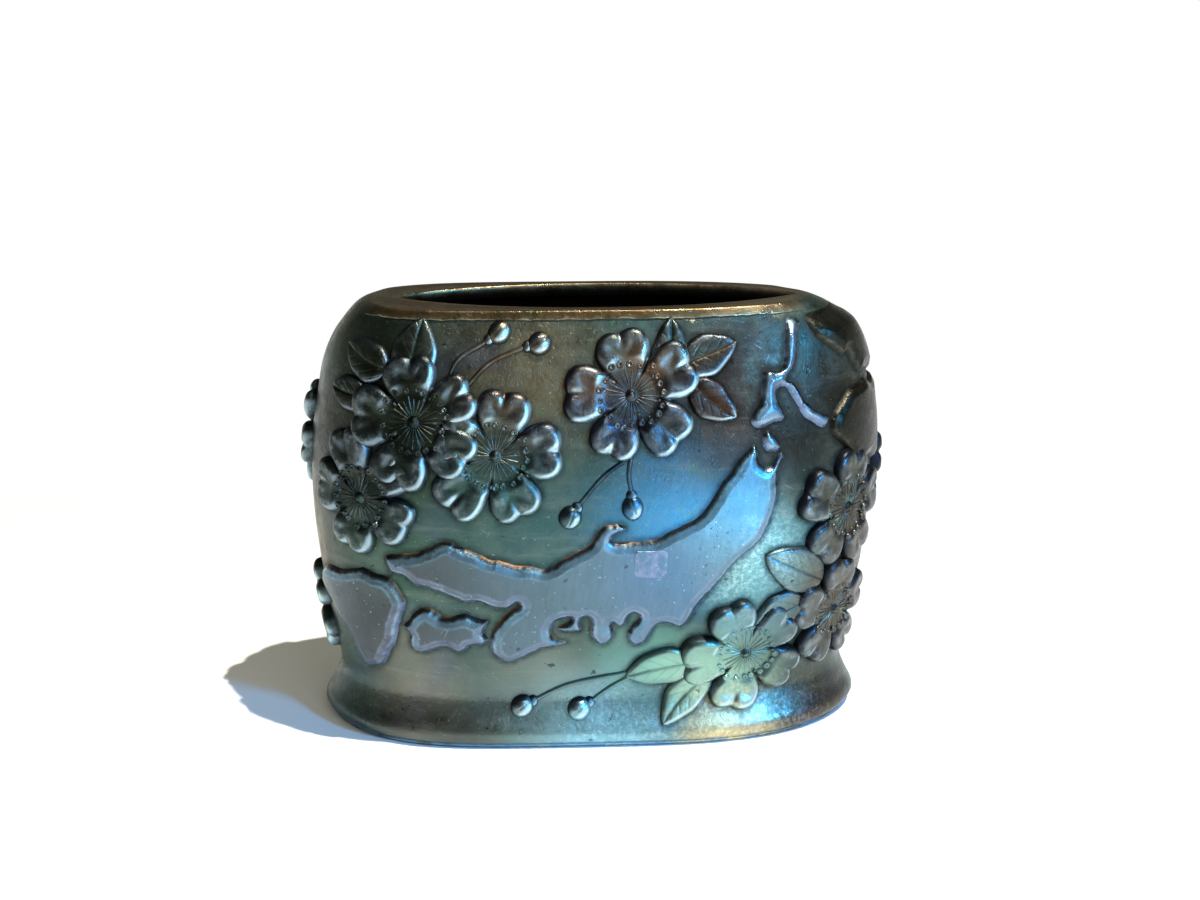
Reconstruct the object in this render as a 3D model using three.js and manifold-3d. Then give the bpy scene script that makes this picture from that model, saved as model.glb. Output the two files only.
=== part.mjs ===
// Flat-sided cast bronze vase with cherry blossoms and a gnarled branch in relief.
// Millimetres, +Z up. The front faces -Y. The origin is the middle of the foot, on the surface it stands on.

import * as THREE from 'three';
import { mergeVertices } from 'three/addons/utils/BufferGeometryUtils.js';
import { TessellateModifier } from 'three/addons/modifiers/TessellateModifier.js';
import Module from 'manifold-3d';

const wasm = await Module();
wasm.setup();

// Driving dimensions

const HEIGHT = 145;
const WALL = 3.2;
const LIP_HEIGHT = 2.8;
const LIP_STEP = 0.6;
const LIP_LEFT = [-77, -67];
const LIP_RIGHT = [70, 60];
const END_ROUNDING = 3;
const GAP = 0.3;
const BURIED = 1.6;
const BURIED_MIDDLE = 6;
const BACK_ROUNDING = 0.6;

// Sections of the outer wall from the foot up: height, widths to the left and the right of the middle, depths
// in front and behind, squareness of the plan curve at the left and the right end, rounding of the front's
// corners (smaller is squarer), and how far the section's middle lies to the right.
const SECTION_COLUMNS = ['height', 'west', 'east', 'front', 'back', 'left', 'right', 'corner', 'shift'];
const SECTIONS = [
  [0, 90.2, 90.2, 41.2, 41.2, 4.2, 3.3, 0.6, -1],
  [4.5, 92.8, 92.8, 42.8, 42.8, 4.2, 3.3, 0.6, -1],
  [11, 89.8, 89.8, 40.2, 40.2, 4.2, 3.3, 0.6, -0.8],
  [17.5, 87.4, 87.4, 38.4, 38.4, 4.2, 3.3, 0.6, -0.6],
  [26, 88.4, 88.4, 40, 40, 4.3, 3.3, 0.6, -0.4],
  [40, 91, 91, 43, 43, 4.4, 3.3, 0.6, -0.2],
  [58, 93.6, 93.6, 45.4, 45.4, 4.5, 3.3, 0.6, 0],
  [80, 95, 95, 46, 46, 4.5, 3.2, 0.6, 0],
  [100, 94.4, 94.4, 44.2, 44.2, 4.5, 3, 0.6, 0.3],
  [113, 92.8, 92.4, 41.5, 41, 4.6, 2.8, 0.58, 0.8],
  [124, 91, 89.6, 38, 36.8, 4.8, 2.6, 0.54, 1.2],
  [133, 87.5, 85.4, 34.5, 32, 5, 2.5, 0.48, 1.6],
  [140, 82.6, 79, 31.2, 26.2, 5, 2.4, 0.42, 1.9],
  [HEIGHT, 78.2, 70, 28.8, 20.6, 5, 2.4, 0.38, 2],
];

// The mouth is a long pointed oval, a little nearer to the front.
const MOUTH = { west: 66, east: 66, front: 20.5, back: 20.5, left: 2.2, right: 2.2, corner: 0.8, shift: 1 };
const MOUTH_BACK_ROUNDING = 0.8;
const MOUTH_FORWARD = 3.6;
const MOUTH_DEPTH = 4;
const NECK_FALL = 2;
const NECK_THICKER = 1;

// The bottom is a plate let into the foot from below, against a ledge, and sealed with a bead of solder.
const PLATE_RECESS = 2.4;
const PLATE_THICKNESS = 2;
const FOOT_THICKNESS = 4.2;
const LEDGE_WIDTH = 4;
const LEDGE_THICKNESS = 2.5;
const LEDGE_FADE = 6;
const SEAM_SIZE = 1.3;

// Relief heights above the wall
const BRANCH_RELIEF = 2.2;
const SHOULDER_RELIEF = 2;
const BRANCH_BEVEL = 1.2;
const LEAF_RELIEF = 1.9;
const LEAF_SHOULDER = 0.6;
const BUD_RELIEF = 2.4;
const STEM_RADIUS = 0.8;
const STEM_LIFT = 0.2;

// One petal's outline and crest: place from its middle line, where 1 is the gap beside it, reach as a share
// of the petal's, and how much of the cup's rim stands there. The tip is notched and the gaps are deep.
const PETAL = [
  { place: -1, reach: 0.62, crest: 0.35 },
  { place: -0.76, reach: 0.92, crest: 0.95 },
  { place: -0.34, reach: 1.06, crest: 1 },
  { place: 0, reach: 1, crest: 0.75 },
  { place: 0.34, reach: 1.06, crest: 1 },
  { place: 0.76, reach: 0.92, crest: 0.95 },
];
const PETAL_DISH = 1.25;
const PETAL_CREST = 2.9;
const PETAL_EDGE = 1.3;
const DISH_SHARE = 0.46;
const CREST_SHARE = 0.88;

// Places on the wall are given as the run along the girth from the middle of a face, to the right as that
// face is looked at, and the height. Turns are in degrees, anticlockwise from the right.
const FRONT = 'front';
const BACK = 'back';

// Each petal has its direction and its reach.
const BLOSSOMS = [
  {
    face: FRONT, at: [-33, 101.5], lift: 0,
    petals: [[4, 20.2], [82, 19.4], [155, 19.4], [228, 22.2], [293, 20.6]],
  },
  {
    face: FRONT, at: [-77.5, 86], lift: 0.2,
    petals: [[40, 20], [108, 21.5], [172, 20.5], [252, 17.8], [335, 18.4]],
  },
  {
    face: FRONT, at: [-58.7, 111.5], lift: 0.7,
    petals: [[29, 19.8], [94, 19.4], [178, 20.8], [254, 20.6], [325, 20.8]],
  },
  {
    face: FRONT, at: [9.2, 119.5], lift: 0.4,
    petals: [[27, 21], [103, 19], [178, 20.4], [251, 19], [317.5, 21.2]],
  },
  {
    face: FRONT, at: [48.7, 32], lift: 0.4,
    petals: [[40, 19], [109, 18.6], [189.5, 20.8], [259, 20.4], [330, 20]],
  },
  {
    face: FRONT, at: [83.5, 41.5], lift: 0.3,
    petals: [[10, 19], [82, 18], [166, 17.6], [236, 19.4], [305, 19]],
  },
  {
    face: FRONT, at: [87, 77.5], lift: 0.3,
    petals: [[10, 19.5], [80, 18.5], [157, 20.6], [226, 19.5], [298, 19.5]],
  },
  {
    face: BACK, at: [2, 124], lift: 0.6,
    petals: [[20, 19.5], [90, 18], [163, 20], [236, 19.5], [306, 20]],
  },
  {
    face: BACK, at: [-58, 106], lift: 0.5,
    petals: [[2, 20], [76, 20.6], [147, 19.6], [219, 20.4], [292, 20]],
  },
  {
    face: BACK, at: [-101, 85], lift: 0.9,
    petals: [[20, 18], [94, 17.6], [165, 18], [237, 18], [309, 17.4]],
  },
  {
    face: BACK, at: [104, 96], lift: 0.9,
    petals: [[66, 18], [140, 17.6], [210, 18], [281, 18], [353, 17.4]],
  },
  {
    face: BACK, at: [103, 39], lift: 0.9,
    petals: [[28, 18], [100, 17.6], [171, 18], [244, 18], [317, 17.4]],
  },
  {
    face: BACK, at: [48, 32], lift: 0.4,
    petals: [[60, 20], [133, 20.6], [203, 19.6], [277, 20.4], [348, 20]],
  },
];

// Each leaf runs from its base to its tip, both as run and height.
const LEAVES = [
  { face: FRONT, tip: [21.5, 142.5], base: [20.3, 122], width: 12.5 },
  { face: FRONT, tip: [42.7, 134.6], base: [25.2, 128.2], width: 13.5 },
  { face: FRONT, tip: [43.2, 111.8], base: [28.5, 122.8], width: 12 },
  { face: FRONT, tip: [-56.5, 142.5], base: [-60.5, 123.5], width: 15.5 },
  { face: FRONT, tip: [-83.5, 133.5], base: [-68, 126.5], width: 13.5 },
  { face: FRONT, tip: [-91, 119.8], base: [-75, 118], width: 11.5 },
  { face: FRONT, tip: [9, 25], base: [31, 29.5], width: 14 },
  { face: FRONT, tip: [22, 7.5], base: [36.5, 24.5], width: 13 },
  { face: FRONT, tip: [50.5, 41.5], base: [69.5, 48], width: 14.5 },
  { face: FRONT, tip: [54.2, 66.5], base: [76, 54.5], width: 16 },
  { face: BACK, tip: [-88, 126], base: [-72, 113], width: 13 },
  { face: BACK, tip: [76, 128], base: [88, 112], width: 13 },
  { face: BACK, tip: [30, 54], base: [42, 42], width: 12 },
];
// A leaf's width rises from its base and draws in to its tip with these powers.
const LEAF_BASE_POWER = 0.5;
const LEAF_TIP_POWER = 0.75;
const LEAF_HOLLOW = 0.8;

// Each bud has its middle, its size, its turn, and the places that its stem runs through.
const BUDS = [
  { face: FRONT, at: [-33.5, 138], length: 10, width: 6.6, turn: 32, stem: [[-45.5, 130.5], [-48.5, 124]] },
  { face: FRONT, at: [-20.9, 135], length: 10, width: 6.8, turn: 12, stem: [[-35.4, 129.6], [-43, 122]] },
  { face: FRONT, at: [-8.7, 82.4], length: 10, width: 7, turn: 235, stem: [[0.7, 94.2], [7, 99]] },
  { face: FRONT, at: [10.4, 85.4], length: 10.5, width: 6.6, turn: 275, stem: [[9.2, 95], [9.8, 101]] },
  { face: FRONT, at: [-23.6, 14.6], length: 10, width: 7, turn: 205, stem: [[-8.2, 21.9], [11, 26]] },
  { face: FRONT, at: [-4.8, 13.6], length: 10, width: 7.2, turn: 210, stem: [[4.4, 20.1], [12, 25]] },
  { face: BACK, at: [40, 128], length: 10, width: 7, turn: 150, stem: [[52, 121], [58, 110]] },
  { face: BACK, at: [6, 18], length: 10, width: 7, turn: 200, stem: [[16, 22], [30, 29]] },
];
const STEM_ROOT = 0.3;

// Outlines of the raised flat pieces of the branch, as runs and heights, anticlockwise
const BRANCH_PIECES = [
  {
    face: FRONT,
    relief: BRANCH_RELIEF,
    longestEdge: 24,
    outline: [
      [-68.7, 66.5], [-67, 62], [-60, 57.5], [-49.5, 55], [-39, 52.5], [-32, 50.8], [-25.5, 51.2],
      [-31, 47.5], [-35.6, 40.5], [-33.6, 33.5], [-28, 30.8], [-20.5, 33], [-13.5, 36.6], [-11, 40.2],
      [-15.5, 41],
      [-15.4, 44.2], [-8.6, 44.6], [-2.9, 44.8], [-2, 39.5], [1.3, 37.2], [4.6, 38.8], [5, 44], [9.8, 44.8],
      [9.6, 39], [13.7, 36.4], [17.6, 38.6], [20.9, 43.6], [26.5, 42.6], [30.5, 50.5], [36.5, 57.4],
      [43.2, 65.7], [50.9, 70.2], [55, 75.8], [57.6, 84.5], [58, 94.3], [59.4, 99.4], [55.6, 96.2],
      [52.6, 96.4], [51, 101.6], [47.4, 100.6], [43.3, 95.4], [39.1, 89.3], [33.8, 79.9], [27, 76.2],
      [19.4, 73.4], [5.6, 73.6], [5.4, 76], [9.3, 77.4], [8.9, 79.6], [2.1, 79.4], [-0.4, 76.8], [-3, 71.8],
      [-11.9, 67.4], [-16.4, 63.6], [-23.8, 65], [-34.2, 67], [-43.7, 70.7], [-48.1, 73.2], [-57.3, 69.5],
    ],
  },
  {
    face: FRONT,
    relief: BRANCH_RELIEF,
    longestEdge: 24,
    outline: [
      [-64, 42.6], [-62, 39.2], [-61.5, 34.8], [-57, 32.8], [-50.6, 36.6], [-45, 32.2], [-36.2, 37.6],
      [-37.8, 41.6], [-35.2, 46.6], [-48.8, 45.6], [-57.2, 50.2], [-61.4, 47.2],
    ],
  },
  {
    face: FRONT,
    relief: BRANCH_RELIEF,
    longestEdge: 11,
    outline: [
      [-96, 52], [-92, 42], [-86, 32], [-79.6, 24.4], [-72.4, 26.4], [-70, 32.3], [-66.5, 37], [-65, 44],
      [-62.6, 51.8], [-69.6, 60.2], [-80, 60.4], [-90, 58.6],
    ],
  },
  {
    face: FRONT,
    relief: BRANCH_RELIEF,
    longestEdge: 11,
    outline: [
      [47.8, 110.4], [50, 107.8], [58.6, 110.2], [57.8, 114], [56.6, 118.2], [58.8, 120.2], [61.6, 118.4],
      [64, 114.4], [67.2, 109.4], [75.8, 105.2], [78.4, 108.4], [70, 112.4], [66.6, 116.4], [64, 120.8],
      [60.6, 123.2], [63.6, 127.4], [65, 132], [65.6, 139.2], [62.4, 140.2], [60.2, 138.8], [60.4, 132],
      [58.6, 125.6], [52.6, 125.4], [51.6, 120.8], [50.8, 115.2],
    ],
  },
  {
    face: FRONT,
    relief: BRANCH_RELIEF,
    longestEdge: 11,
    outline: [[52.4, 103], [53.6, 100.8], [57.6, 100.4], [58.6, 102], [55.4, 106.4], [53.4, 106.6]],
  },
  {
    face: FRONT,
    relief: SHOULDER_RELIEF,
    longestEdge: 11,
    outline: [
      [67.5, 139], [73, 132.6], [82.6, 126.6], [85.6, 127.2], [93, 119.4], [97, 121], [103, 118.6],
      [110, 121], [117, 117.6], [124, 121], [129, 127], [127, 134], [122, 138],
    ],
  },
  {
    face: FRONT,
    relief: SHOULDER_RELIEF,
    longestEdge: 11,
    outline: [
      [78.2, 106], [82, 100.6], [86.2, 97.4], [88.6, 92.5], [94, 89], [101, 92], [108, 88], [118, 90],
      [125, 97], [122, 105], [126, 112], [118, 115.4], [110, 118], [103, 115.4], [97, 117.8], [86, 115.6],
    ],
  },
  {
    face: BACK,
    relief: BRANCH_RELIEF,
    longestEdge: 24,
    outline: [
      [-62, 46], [-52, 41], [-40, 43], [-30, 50], [-18, 52], [-8, 47], [4, 50], [14, 58], [26, 61], [38, 58],
      [52, 62], [64, 71], [72, 80], [66, 82], [54, 74], [42, 70], [34, 72], [36, 81], [30, 84], [24, 74],
      [12, 72], [0, 66], [-10, 66], [-16, 74], [-22, 73], [-22, 65], [-34, 62], [-46, 56], [-58, 54],
    ],
  },
  {
    face: BACK,
    relief: BRANCH_RELIEF,
    longestEdge: 11,
    outline: [
      [-92, 34], [-84, 26], [-76, 30], [-72, 40], [-76, 52], [-84, 62], [-92, 56], [-96, 45],
    ],
  },
];

// Core-pin plugs: the front one is the rectangular patch on the branch, the others are round.
const PLUG_PROUD_INSIDE = 0.6;
const CUT_BEYOND = 4;
const SQUARE_PLUG = { face: FRONT, run: 16.5, height: 65.8, width: 10.6, tall: 9.4 };
const ROUND_PLUG_RADIUS = 3.2;
const ROUND_PLUGS = [
  { name: 'core_plug_back', face: BACK, run: 6, height: 82 },
  { name: 'core_plug_left', face: BACK, run: 76, height: 66 },
  { name: 'core_plug_right', face: BACK, run: -84, height: 130 },
];

// Relief near the rim stays below the lip's top edge: how high it may stand on the wall, and reach in all.
const HIGHEST_PLACE = HEIGHT - 0.5;
const HIGHEST_RELIEF = HEIGHT - 0.2;

// Fineness of the faceted surfaces
const OUTER_STEPS = 48;
const INNER_STEPS = 32;
const LEAF_STEPS = 10;
const BUD_STEPS = [8, 4];
const STEM_STEPS = 3;
const STEM_SIDES = 4;
const PLUG_STEPS = 16;
const SPLIT_ROUNDS = 8;
const SAME_PLACE = 1e-4;
const PLAN_STEPS = 240;
const OUTER_HEIGHTS = [0, 1.3, 4.5, 8, 12, 17.5, 26, 42, 62, 82, 100, 114, 125, 133, 138.5];
const LIP_BASE = HEIGHT - LIP_HEIGHT;
const LIP_EDGE = 0.2;
const RIM_HEIGHTS = [LIP_BASE - LIP_EDGE, LIP_BASE, HEIGHT - 1, HEIGHT];
const INNER_HEIGHTS = [40, 75, 105, 128];
// The wall's outward direction is taken over this length, so that it turns smoothly at the ends, and below
// this height, where the rim's rounding begins.
const NORMAL_SPAN = 5;
const NORMAL_TOP = LIP_BASE - 1;

// The wall's form

// Smooth value of one column of SECTIONS at a height.
function sectionValue(column, height) {
  const last = SECTIONS.length - 1;
  let i = 0;
  while (i < last - 1 && SECTIONS[i + 1][0] <= height) i += 1;
  const slope = (k) => {
    const below = SECTIONS[Math.max(k - 1, 0)];
    const above = SECTIONS[Math.min(k + 1, last)];
    return (above[column] - below[column]) / (above[0] - below[0]);
  };
  const low = SECTIONS[i];
  const high = SECTIONS[i + 1];
  const span = high[0] - low[0];
  const t = THREE.MathUtils.clamp((height - low[0]) / span, 0, 1);
  const rise = t * t * (3 - 2 * t);
  return low[column] * (1 - rise) + high[column] * rise
    + span * (slope(i) * t * (1 - t) * (1 - t) - slope(i + 1) * t * t * (1 - t));
}

function sectionAt(height) {
  const section = {};
  SECTION_COLUMNS.forEach((name, column) => {
    section[name] = sectionValue(column, height);
  });
  return section;
}

// Point of a plan curve at an angle. The front is at -90 degrees.
function planPoint(section, angle, inset, backRounding) {
  const cos = Math.cos(angle);
  const sin = Math.sin(angle);
  const power = cos >= 0 ? section.right : section.left;
  const width = (cos >= 0 ? section.east : section.west) - inset;
  const depth = (sin < 0 ? section.front : section.back) - inset;
  const rounding = sin < 0 ? section.corner : backRounding;
  return {
    x: section.shift + width * Math.sign(cos) * Math.abs(cos) ** (2 / power),
    y: depth * Math.sign(sin) * Math.abs(sin) ** (2 * rounding),
  };
}

// Points of a plan curve, evenly spread along it, from the middle of the front round to the right.
function evenRing(section, count, inset = 0, backRounding = BACK_ROUNDING) {
  const fine = fineRing(section, inset, backRounding);
  const points = [];
  for (let i = 0; i < count; i += 1) {
    points.push(pointAtRun(fine, (i / count) * fine.girth));
  }
  return points;
}

function fineRing(section, inset, backRounding) {
  const points = [];
  const runs = [0];
  for (let i = 0; i <= PLAN_STEPS; i += 1) {
    const angle = -Math.PI / 2 + (i / PLAN_STEPS) * 2 * Math.PI;
    points.push(planPoint(section, angle, inset, backRounding));
    if (i > 0) {
      const before = points[i - 1];
      runs.push(runs[i - 1] + Math.hypot(points[i].x - before.x, points[i].y - before.y));
    }
  }
  return { points, runs, girth: runs[PLAN_STEPS], back: runs[PLAN_STEPS / 2] };
}

function pointAtRun(fine, run) {
  const wanted = THREE.MathUtils.euclideanModulo(run, fine.girth);
  let low = 0;
  let high = PLAN_STEPS;
  while (high - low > 1) {
    const middle = (low + high) >> 1;
    if (fine.runs[middle] <= wanted) low = middle;
    else high = middle;
  }
  const t = (wanted - fine.runs[low]) / (fine.runs[high] - fine.runs[low]);
  const a = fine.points[low];
  const b = fine.points[high];
  return { x: a.x + (b.x - a.x) * t, y: a.y + (b.y - a.y) * t };
}

function wallPoint(face, run, height) {
  const fine = fineRing(sectionAt(height), 0, BACK_ROUNDING);
  const start = face === BACK ? fine.back : 0;
  const point = pointAtRun(fine, start + run);
  return new THREE.Vector3(point.x, point.y, height);
}

// Outward direction of the wall.
function wallNormal(face, run, height) {
  const level = Math.min(height, NORMAL_TOP);
  const low = Math.max(0, level - NORMAL_SPAN / 2);
  const high = Math.min(NORMAL_TOP, low + NORMAL_SPAN);
  const along = wallPoint(face, run + NORMAL_SPAN, level).sub(wallPoint(face, run - NORMAL_SPAN, level));
  const up = wallPoint(face, run, high).sub(wallPoint(face, run, low));
  return along.cross(up).normalize();
}

// Bends a geometry made as (run, height, relief) onto the wall.
function bendOntoWall(geometry, face) {
  const position = geometry.attributes.position;
  for (let i = 0; i < position.count; i += 1) {
    const run = position.getX(i);
    const height = Math.min(position.getY(i), HIGHEST_PLACE);
    const point = wallPoint(face, run, height);
    point.addScaledVector(wallNormal(face, run, height), position.getZ(i));
    position.setXYZ(i, point.x, point.y, Math.min(point.z, HIGHEST_RELIEF));
  }
  return geometry;
}

// Solids

function solidOf(geometry) {
  const bare = geometry.clone();
  for (const name of Object.keys(bare.attributes)) {
    if (name !== 'position') bare.deleteAttribute(name);
  }
  const merged = mergeVertices(bare, SAME_PLACE);
  return new wasm.Manifold(new wasm.Mesh({
    numProp: 3,
    vertProperties: new Float32Array(merged.attributes.position.array),
    triVerts: new Uint32Array(merged.index.array),
  }));
}

function geometryOf(solid) {
  const mesh = solid.getMesh();
  const geometry = new THREE.BufferGeometry();
  geometry.setAttribute('position', new THREE.BufferAttribute(mesh.vertProperties, 3));
  geometry.setIndex(new THREE.BufferAttribute(mesh.triVerts, 1));
  geometry.computeVertexNormals();
  return geometry;
}

// Closed solid through rings of points that all have the same count, listed from the bottom up.
function loft(rings) {
  const count = rings[0].length;
  const vertices = rings.flat().flatMap((point) => [point.x, point.y, point.z]);
  const faces = [];
  for (let r = 0; r < rings.length - 1; r += 1) {
    for (let i = 0; i < count; i += 1) {
      const j = (i + 1) % count;
      const a = r * count + i;
      const b = r * count + j;
      faces.push(a, b, b + count, a, b + count, a + count);
    }
  }
  const flat = (ring) => ring.map((point) => new THREE.Vector2(point.x, point.y));
  const top = (rings.length - 1) * count;
  for (const [a, b, c] of THREE.ShapeUtils.triangulateShape(flat(rings[0]), [])) faces.push(a, c, b);
  for (const [a, b, c] of THREE.ShapeUtils.triangulateShape(flat(rings.at(-1)), [])) {
    faces.push(top + a, top + b, top + c);
  }
  const geometry = new THREE.BufferGeometry();
  geometry.setAttribute('position', new THREE.Float32BufferAttribute(vertices, 3));
  geometry.setIndex(faces);
  return geometry;
}

function ringAt(height, inset, count, sectionHeight = height) {
  return evenRing(sectionAt(sectionHeight), count, inset).map((point) => ({ ...point, z: height }));
}

// A ring of the rim, which has a stepped lip along the front and the back and is rounded over at the ends.
function rimRing(height) {
  const step = height >= LIP_BASE ? LIP_STEP : 0;
  const section = sectionAt(height);
  section.front += step;
  section.back += step;
  const above = Math.max(0, height - (HEIGHT - END_ROUNDING));
  const ends = ringAt(height, END_ROUNDING - Math.sqrt(END_ROUNDING ** 2 - above ** 2), OUTER_STEPS);
  return evenRing(section, OUTER_STEPS).map((point, i) => {
    const share = THREE.MathUtils.smoothstep(point.x, ...LIP_LEFT)
      * (1 - THREE.MathUtils.smoothstep(point.x, LIP_RIGHT[1], LIP_RIGHT[0]));
    return {
      x: THREE.MathUtils.lerp(ends[i].x, point.x, share),
      y: THREE.MathUtils.lerp(ends[i].y, point.y, share),
      z: height,
    };
  });
}

// Closed solid in (run, height, relief) space from a middle point and rings round it. Its foot is buried in
// the wall, deepest in the middle, so that it also fills a hollow of the wall.
function domed(centre, rings) {
  const count = rings[0].length;
  const bottom = rings.at(-1).map((point) => ({ ...point, relief: -BURIED }));
  const all = [centre, ...rings.flat(), ...bottom, { ...centre, relief: -BURIED_MIDDLE }];
  const faces = [];
  for (let i = 0; i < count; i += 1) {
    const j = (i + 1) % count;
    faces.push(0, 1 + i, 1 + j);
    for (let r = 0; r < rings.length; r += 1) {
      const a = 1 + r * count + i;
      const b = 1 + r * count + j;
      faces.push(a, a + count, b + count, a, b + count, b);
    }
    const last = 1 + rings.length * count;
    faces.push(all.length - 1, last + j, last + i);
  }
  const geometry = new THREE.BufferGeometry();
  const places = all.flatMap((point) => [point.run, point.height, point.relief]);
  geometry.setAttribute('position', new THREE.Float32BufferAttribute(places, 3));
  geometry.setIndex(faces);
  return geometry;
}

// Relief

function blossom({ face, at: [run, height], lift, petals }) {
  const count = petals.length;
  const directionOf = (k) => petals[(k + count) % count][0] + 360 * Math.floor(k / count);
  const rings = [
    { share: DISH_SHARE, relief: () => PETAL_DISH },
    { share: CREST_SHARE, relief: (crest) => PETAL_DISH + (PETAL_CREST - PETAL_DISH) * crest },
    { share: 1, relief: (crest) => PETAL_EDGE * crest },
  ].map(({ share, relief }) => {
    const points = [];
    petals.forEach(([middle, petalReach], k) => {
      for (const { place, reach, crest } of PETAL) {
        const gap = Math.abs(directionOf(place < 0 ? k - 1 : k + 1) - middle) / 2;
        const direction = THREE.MathUtils.degToRad(middle + place * gap);
        const out = petalReach * share * (share === DISH_SHARE ? 1 : reach);
        points.push({
          run: run + out * Math.cos(direction),
          height: height + out * Math.sin(direction),
          relief: relief(crest) + lift,
        });
      }
    });
    return points;
  });
  return solidOf(bendOntoWall(domed({ run, height, relief: PETAL_DISH + lift }, rings), face));
}

// Half of a leaf's width along it, as a share, from -1 at the base to 1 at the tip.
function leafFullness(place) {
  const broadest = (LEAF_BASE_POWER - LEAF_TIP_POWER) / (LEAF_BASE_POWER + LEAF_TIP_POWER);
  const fromBase = (1 + place) / (1 + broadest);
  const fromTip = (1 - place) / (1 - broadest);
  return fromBase ** LEAF_BASE_POWER * fromTip ** LEAF_TIP_POWER;
}

function leaf({ face, tip, base, width }) {
  const length = Math.hypot(tip[0] - base[0], tip[1] - base[1]);
  const heading = Math.atan2(tip[1] - base[1], tip[0] - base[0]);
  const run = (tip[0] + base[0]) / 2;
  const height = (tip[1] + base[1]) / 2;
  const ring = (share, relief) => {
    const points = [];
    for (let i = 0; i < LEAF_STEPS; i += 1) {
      const side = i <= LEAF_STEPS / 2 ? 1 : -1;
      const place = Math.cos((i / LEAF_STEPS) * 2 * Math.PI);
      const along = (length / 2) * share * place;
      const across = (width / 2) * share * side * leafFullness(place);
      points.push({
        run: run + along * Math.cos(heading) - across * Math.sin(heading),
        height: height + along * Math.sin(heading) + across * Math.cos(heading),
        relief,
      });
    }
    return points;
  };
  const middle = { run, height, relief: LEAF_RELIEF * LEAF_HOLLOW };
  const rings = [ring(LEAF_SHOULDER, LEAF_RELIEF), ring(1, LEAF_RELIEF / 2)];
  return solidOf(bendOntoWall(domed(middle, rings), face));
}

function bud({ face, at: [run, height], length, width, turn, stem }) {
  const ball = new THREE.SphereGeometry(1, ...BUD_STEPS);
  ball.scale(length / 2, width / 2, BUD_RELIEF);
  ball.rotateZ(THREE.MathUtils.degToRad(turn));
  ball.translate(run, height, 0);
  const heading = THREE.MathUtils.degToRad(turn);
  const inward = -length * STEM_ROOT;
  const root = [run + Math.cos(heading) * inward, height + Math.sin(heading) * inward];
  const places = [root, ...stem].map(([x, y]) => new THREE.Vector3(x, y, STEM_LIFT));
  const path = new THREE.CatmullRomCurve3(places);
  const circle = new THREE.EllipseCurve(0, 0, STEM_RADIUS, STEM_RADIUS);
  const section = new THREE.Shape(circle.getPoints(STEM_SIDES));
  const extrusion = { steps: STEM_STEPS, extrudePath: path, bevelEnabled: false };
  const stalk = new THREE.ExtrudeGeometry(section, extrusion);
  return solidOf(bendOntoWall(ball, face)).add(solidOf(bendOntoWall(stalk, face)));
}

function branchPiece({ face, relief, longestEdge, outline }) {
  const shape = new THREE.Shape(outline.map(([x, y]) => new THREE.Vector2(x, y)));
  const plate = new THREE.ExtrudeGeometry(shape, {
    depth: BURIED + relief - BRANCH_BEVEL,
    steps: 1,
    bevelEnabled: true,
    bevelThickness: BRANCH_BEVEL,
    bevelSize: BRANCH_BEVEL,
    bevelOffset: -BRANCH_BEVEL,
    bevelSegments: 1,
  });
  plate.translate(0, 0, -BURIED);
  const pieces = new TessellateModifier(longestEdge, SPLIT_ROUNDS).modify(plate);
  return solidOf(bendOntoWall(pieces, face));
}

// Casting

function outerForm() {
  const wall = OUTER_HEIGHTS.map((height) => ringAt(height, 0, OUTER_STEPS));
  return solidOf(loft([...wall, ...RIM_HEIGHTS.map(rimRing)]));
}

// Everything that is hollow: the pocket under the ledge, the inside and the mouth.
function hollow() {
  const pocketTop = PLATE_RECESS + PLATE_THICKNESS + GAP;
  const ledgeTop = pocketTop + LEDGE_THICKNESS;
  const inside = ledgeTop + LEDGE_FADE;
  const neck = HEIGHT - MOUTH_DEPTH;
  const mouth = (height) => evenRing(MOUTH, INNER_STEPS, 0, MOUTH_BACK_ROUNDING)
    .map((point) => ({ x: point.x, y: point.y - MOUTH_FORWARD, z: height }));
  const rings = [
    ringAt(-CUT_BEYOND, FOOT_THICKNESS, INNER_STEPS, 0),
    ringAt(pocketTop, FOOT_THICKNESS, INNER_STEPS, 0),
    ringAt(pocketTop, FOOT_THICKNESS + LEDGE_WIDTH, INNER_STEPS, 0),
    ringAt(ledgeTop, FOOT_THICKNESS + LEDGE_WIDTH, INNER_STEPS, 0),
    ringAt(inside, WALL, INNER_STEPS),
  ];
  for (const height of INNER_HEIGHTS) rings.push(ringAt(height, WALL, INNER_STEPS));
  rings.push(ringAt(neck - NECK_FALL, WALL + NECK_THICKER, INNER_STEPS));
  rings.push(mouth(neck), mouth(HEIGHT + CUT_BEYOND));
  return solidOf(loft(rings));
}

function squarePlug(clearance, inner, outer) {
  const { face, run, height, width, tall } = SQUARE_PLUG;
  const block = new THREE.BoxGeometry(width + 2 * clearance, tall + 2 * clearance, outer - inner);
  block.translate(run, height, (outer + inner) / 2);
  return solidOf(bendOntoWall(block, face));
}

function roundPlug({ face, run, height }, clearance, inner, outer) {
  const radius = ROUND_PLUG_RADIUS + clearance;
  const rod = new THREE.CylinderGeometry(radius, radius, outer - inner, PLUG_STEPS);
  rod.rotateX(Math.PI / 2);
  rod.translate(run, height, (outer + inner) / 2);
  return solidOf(bendOntoWall(rod, face));
}

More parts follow.
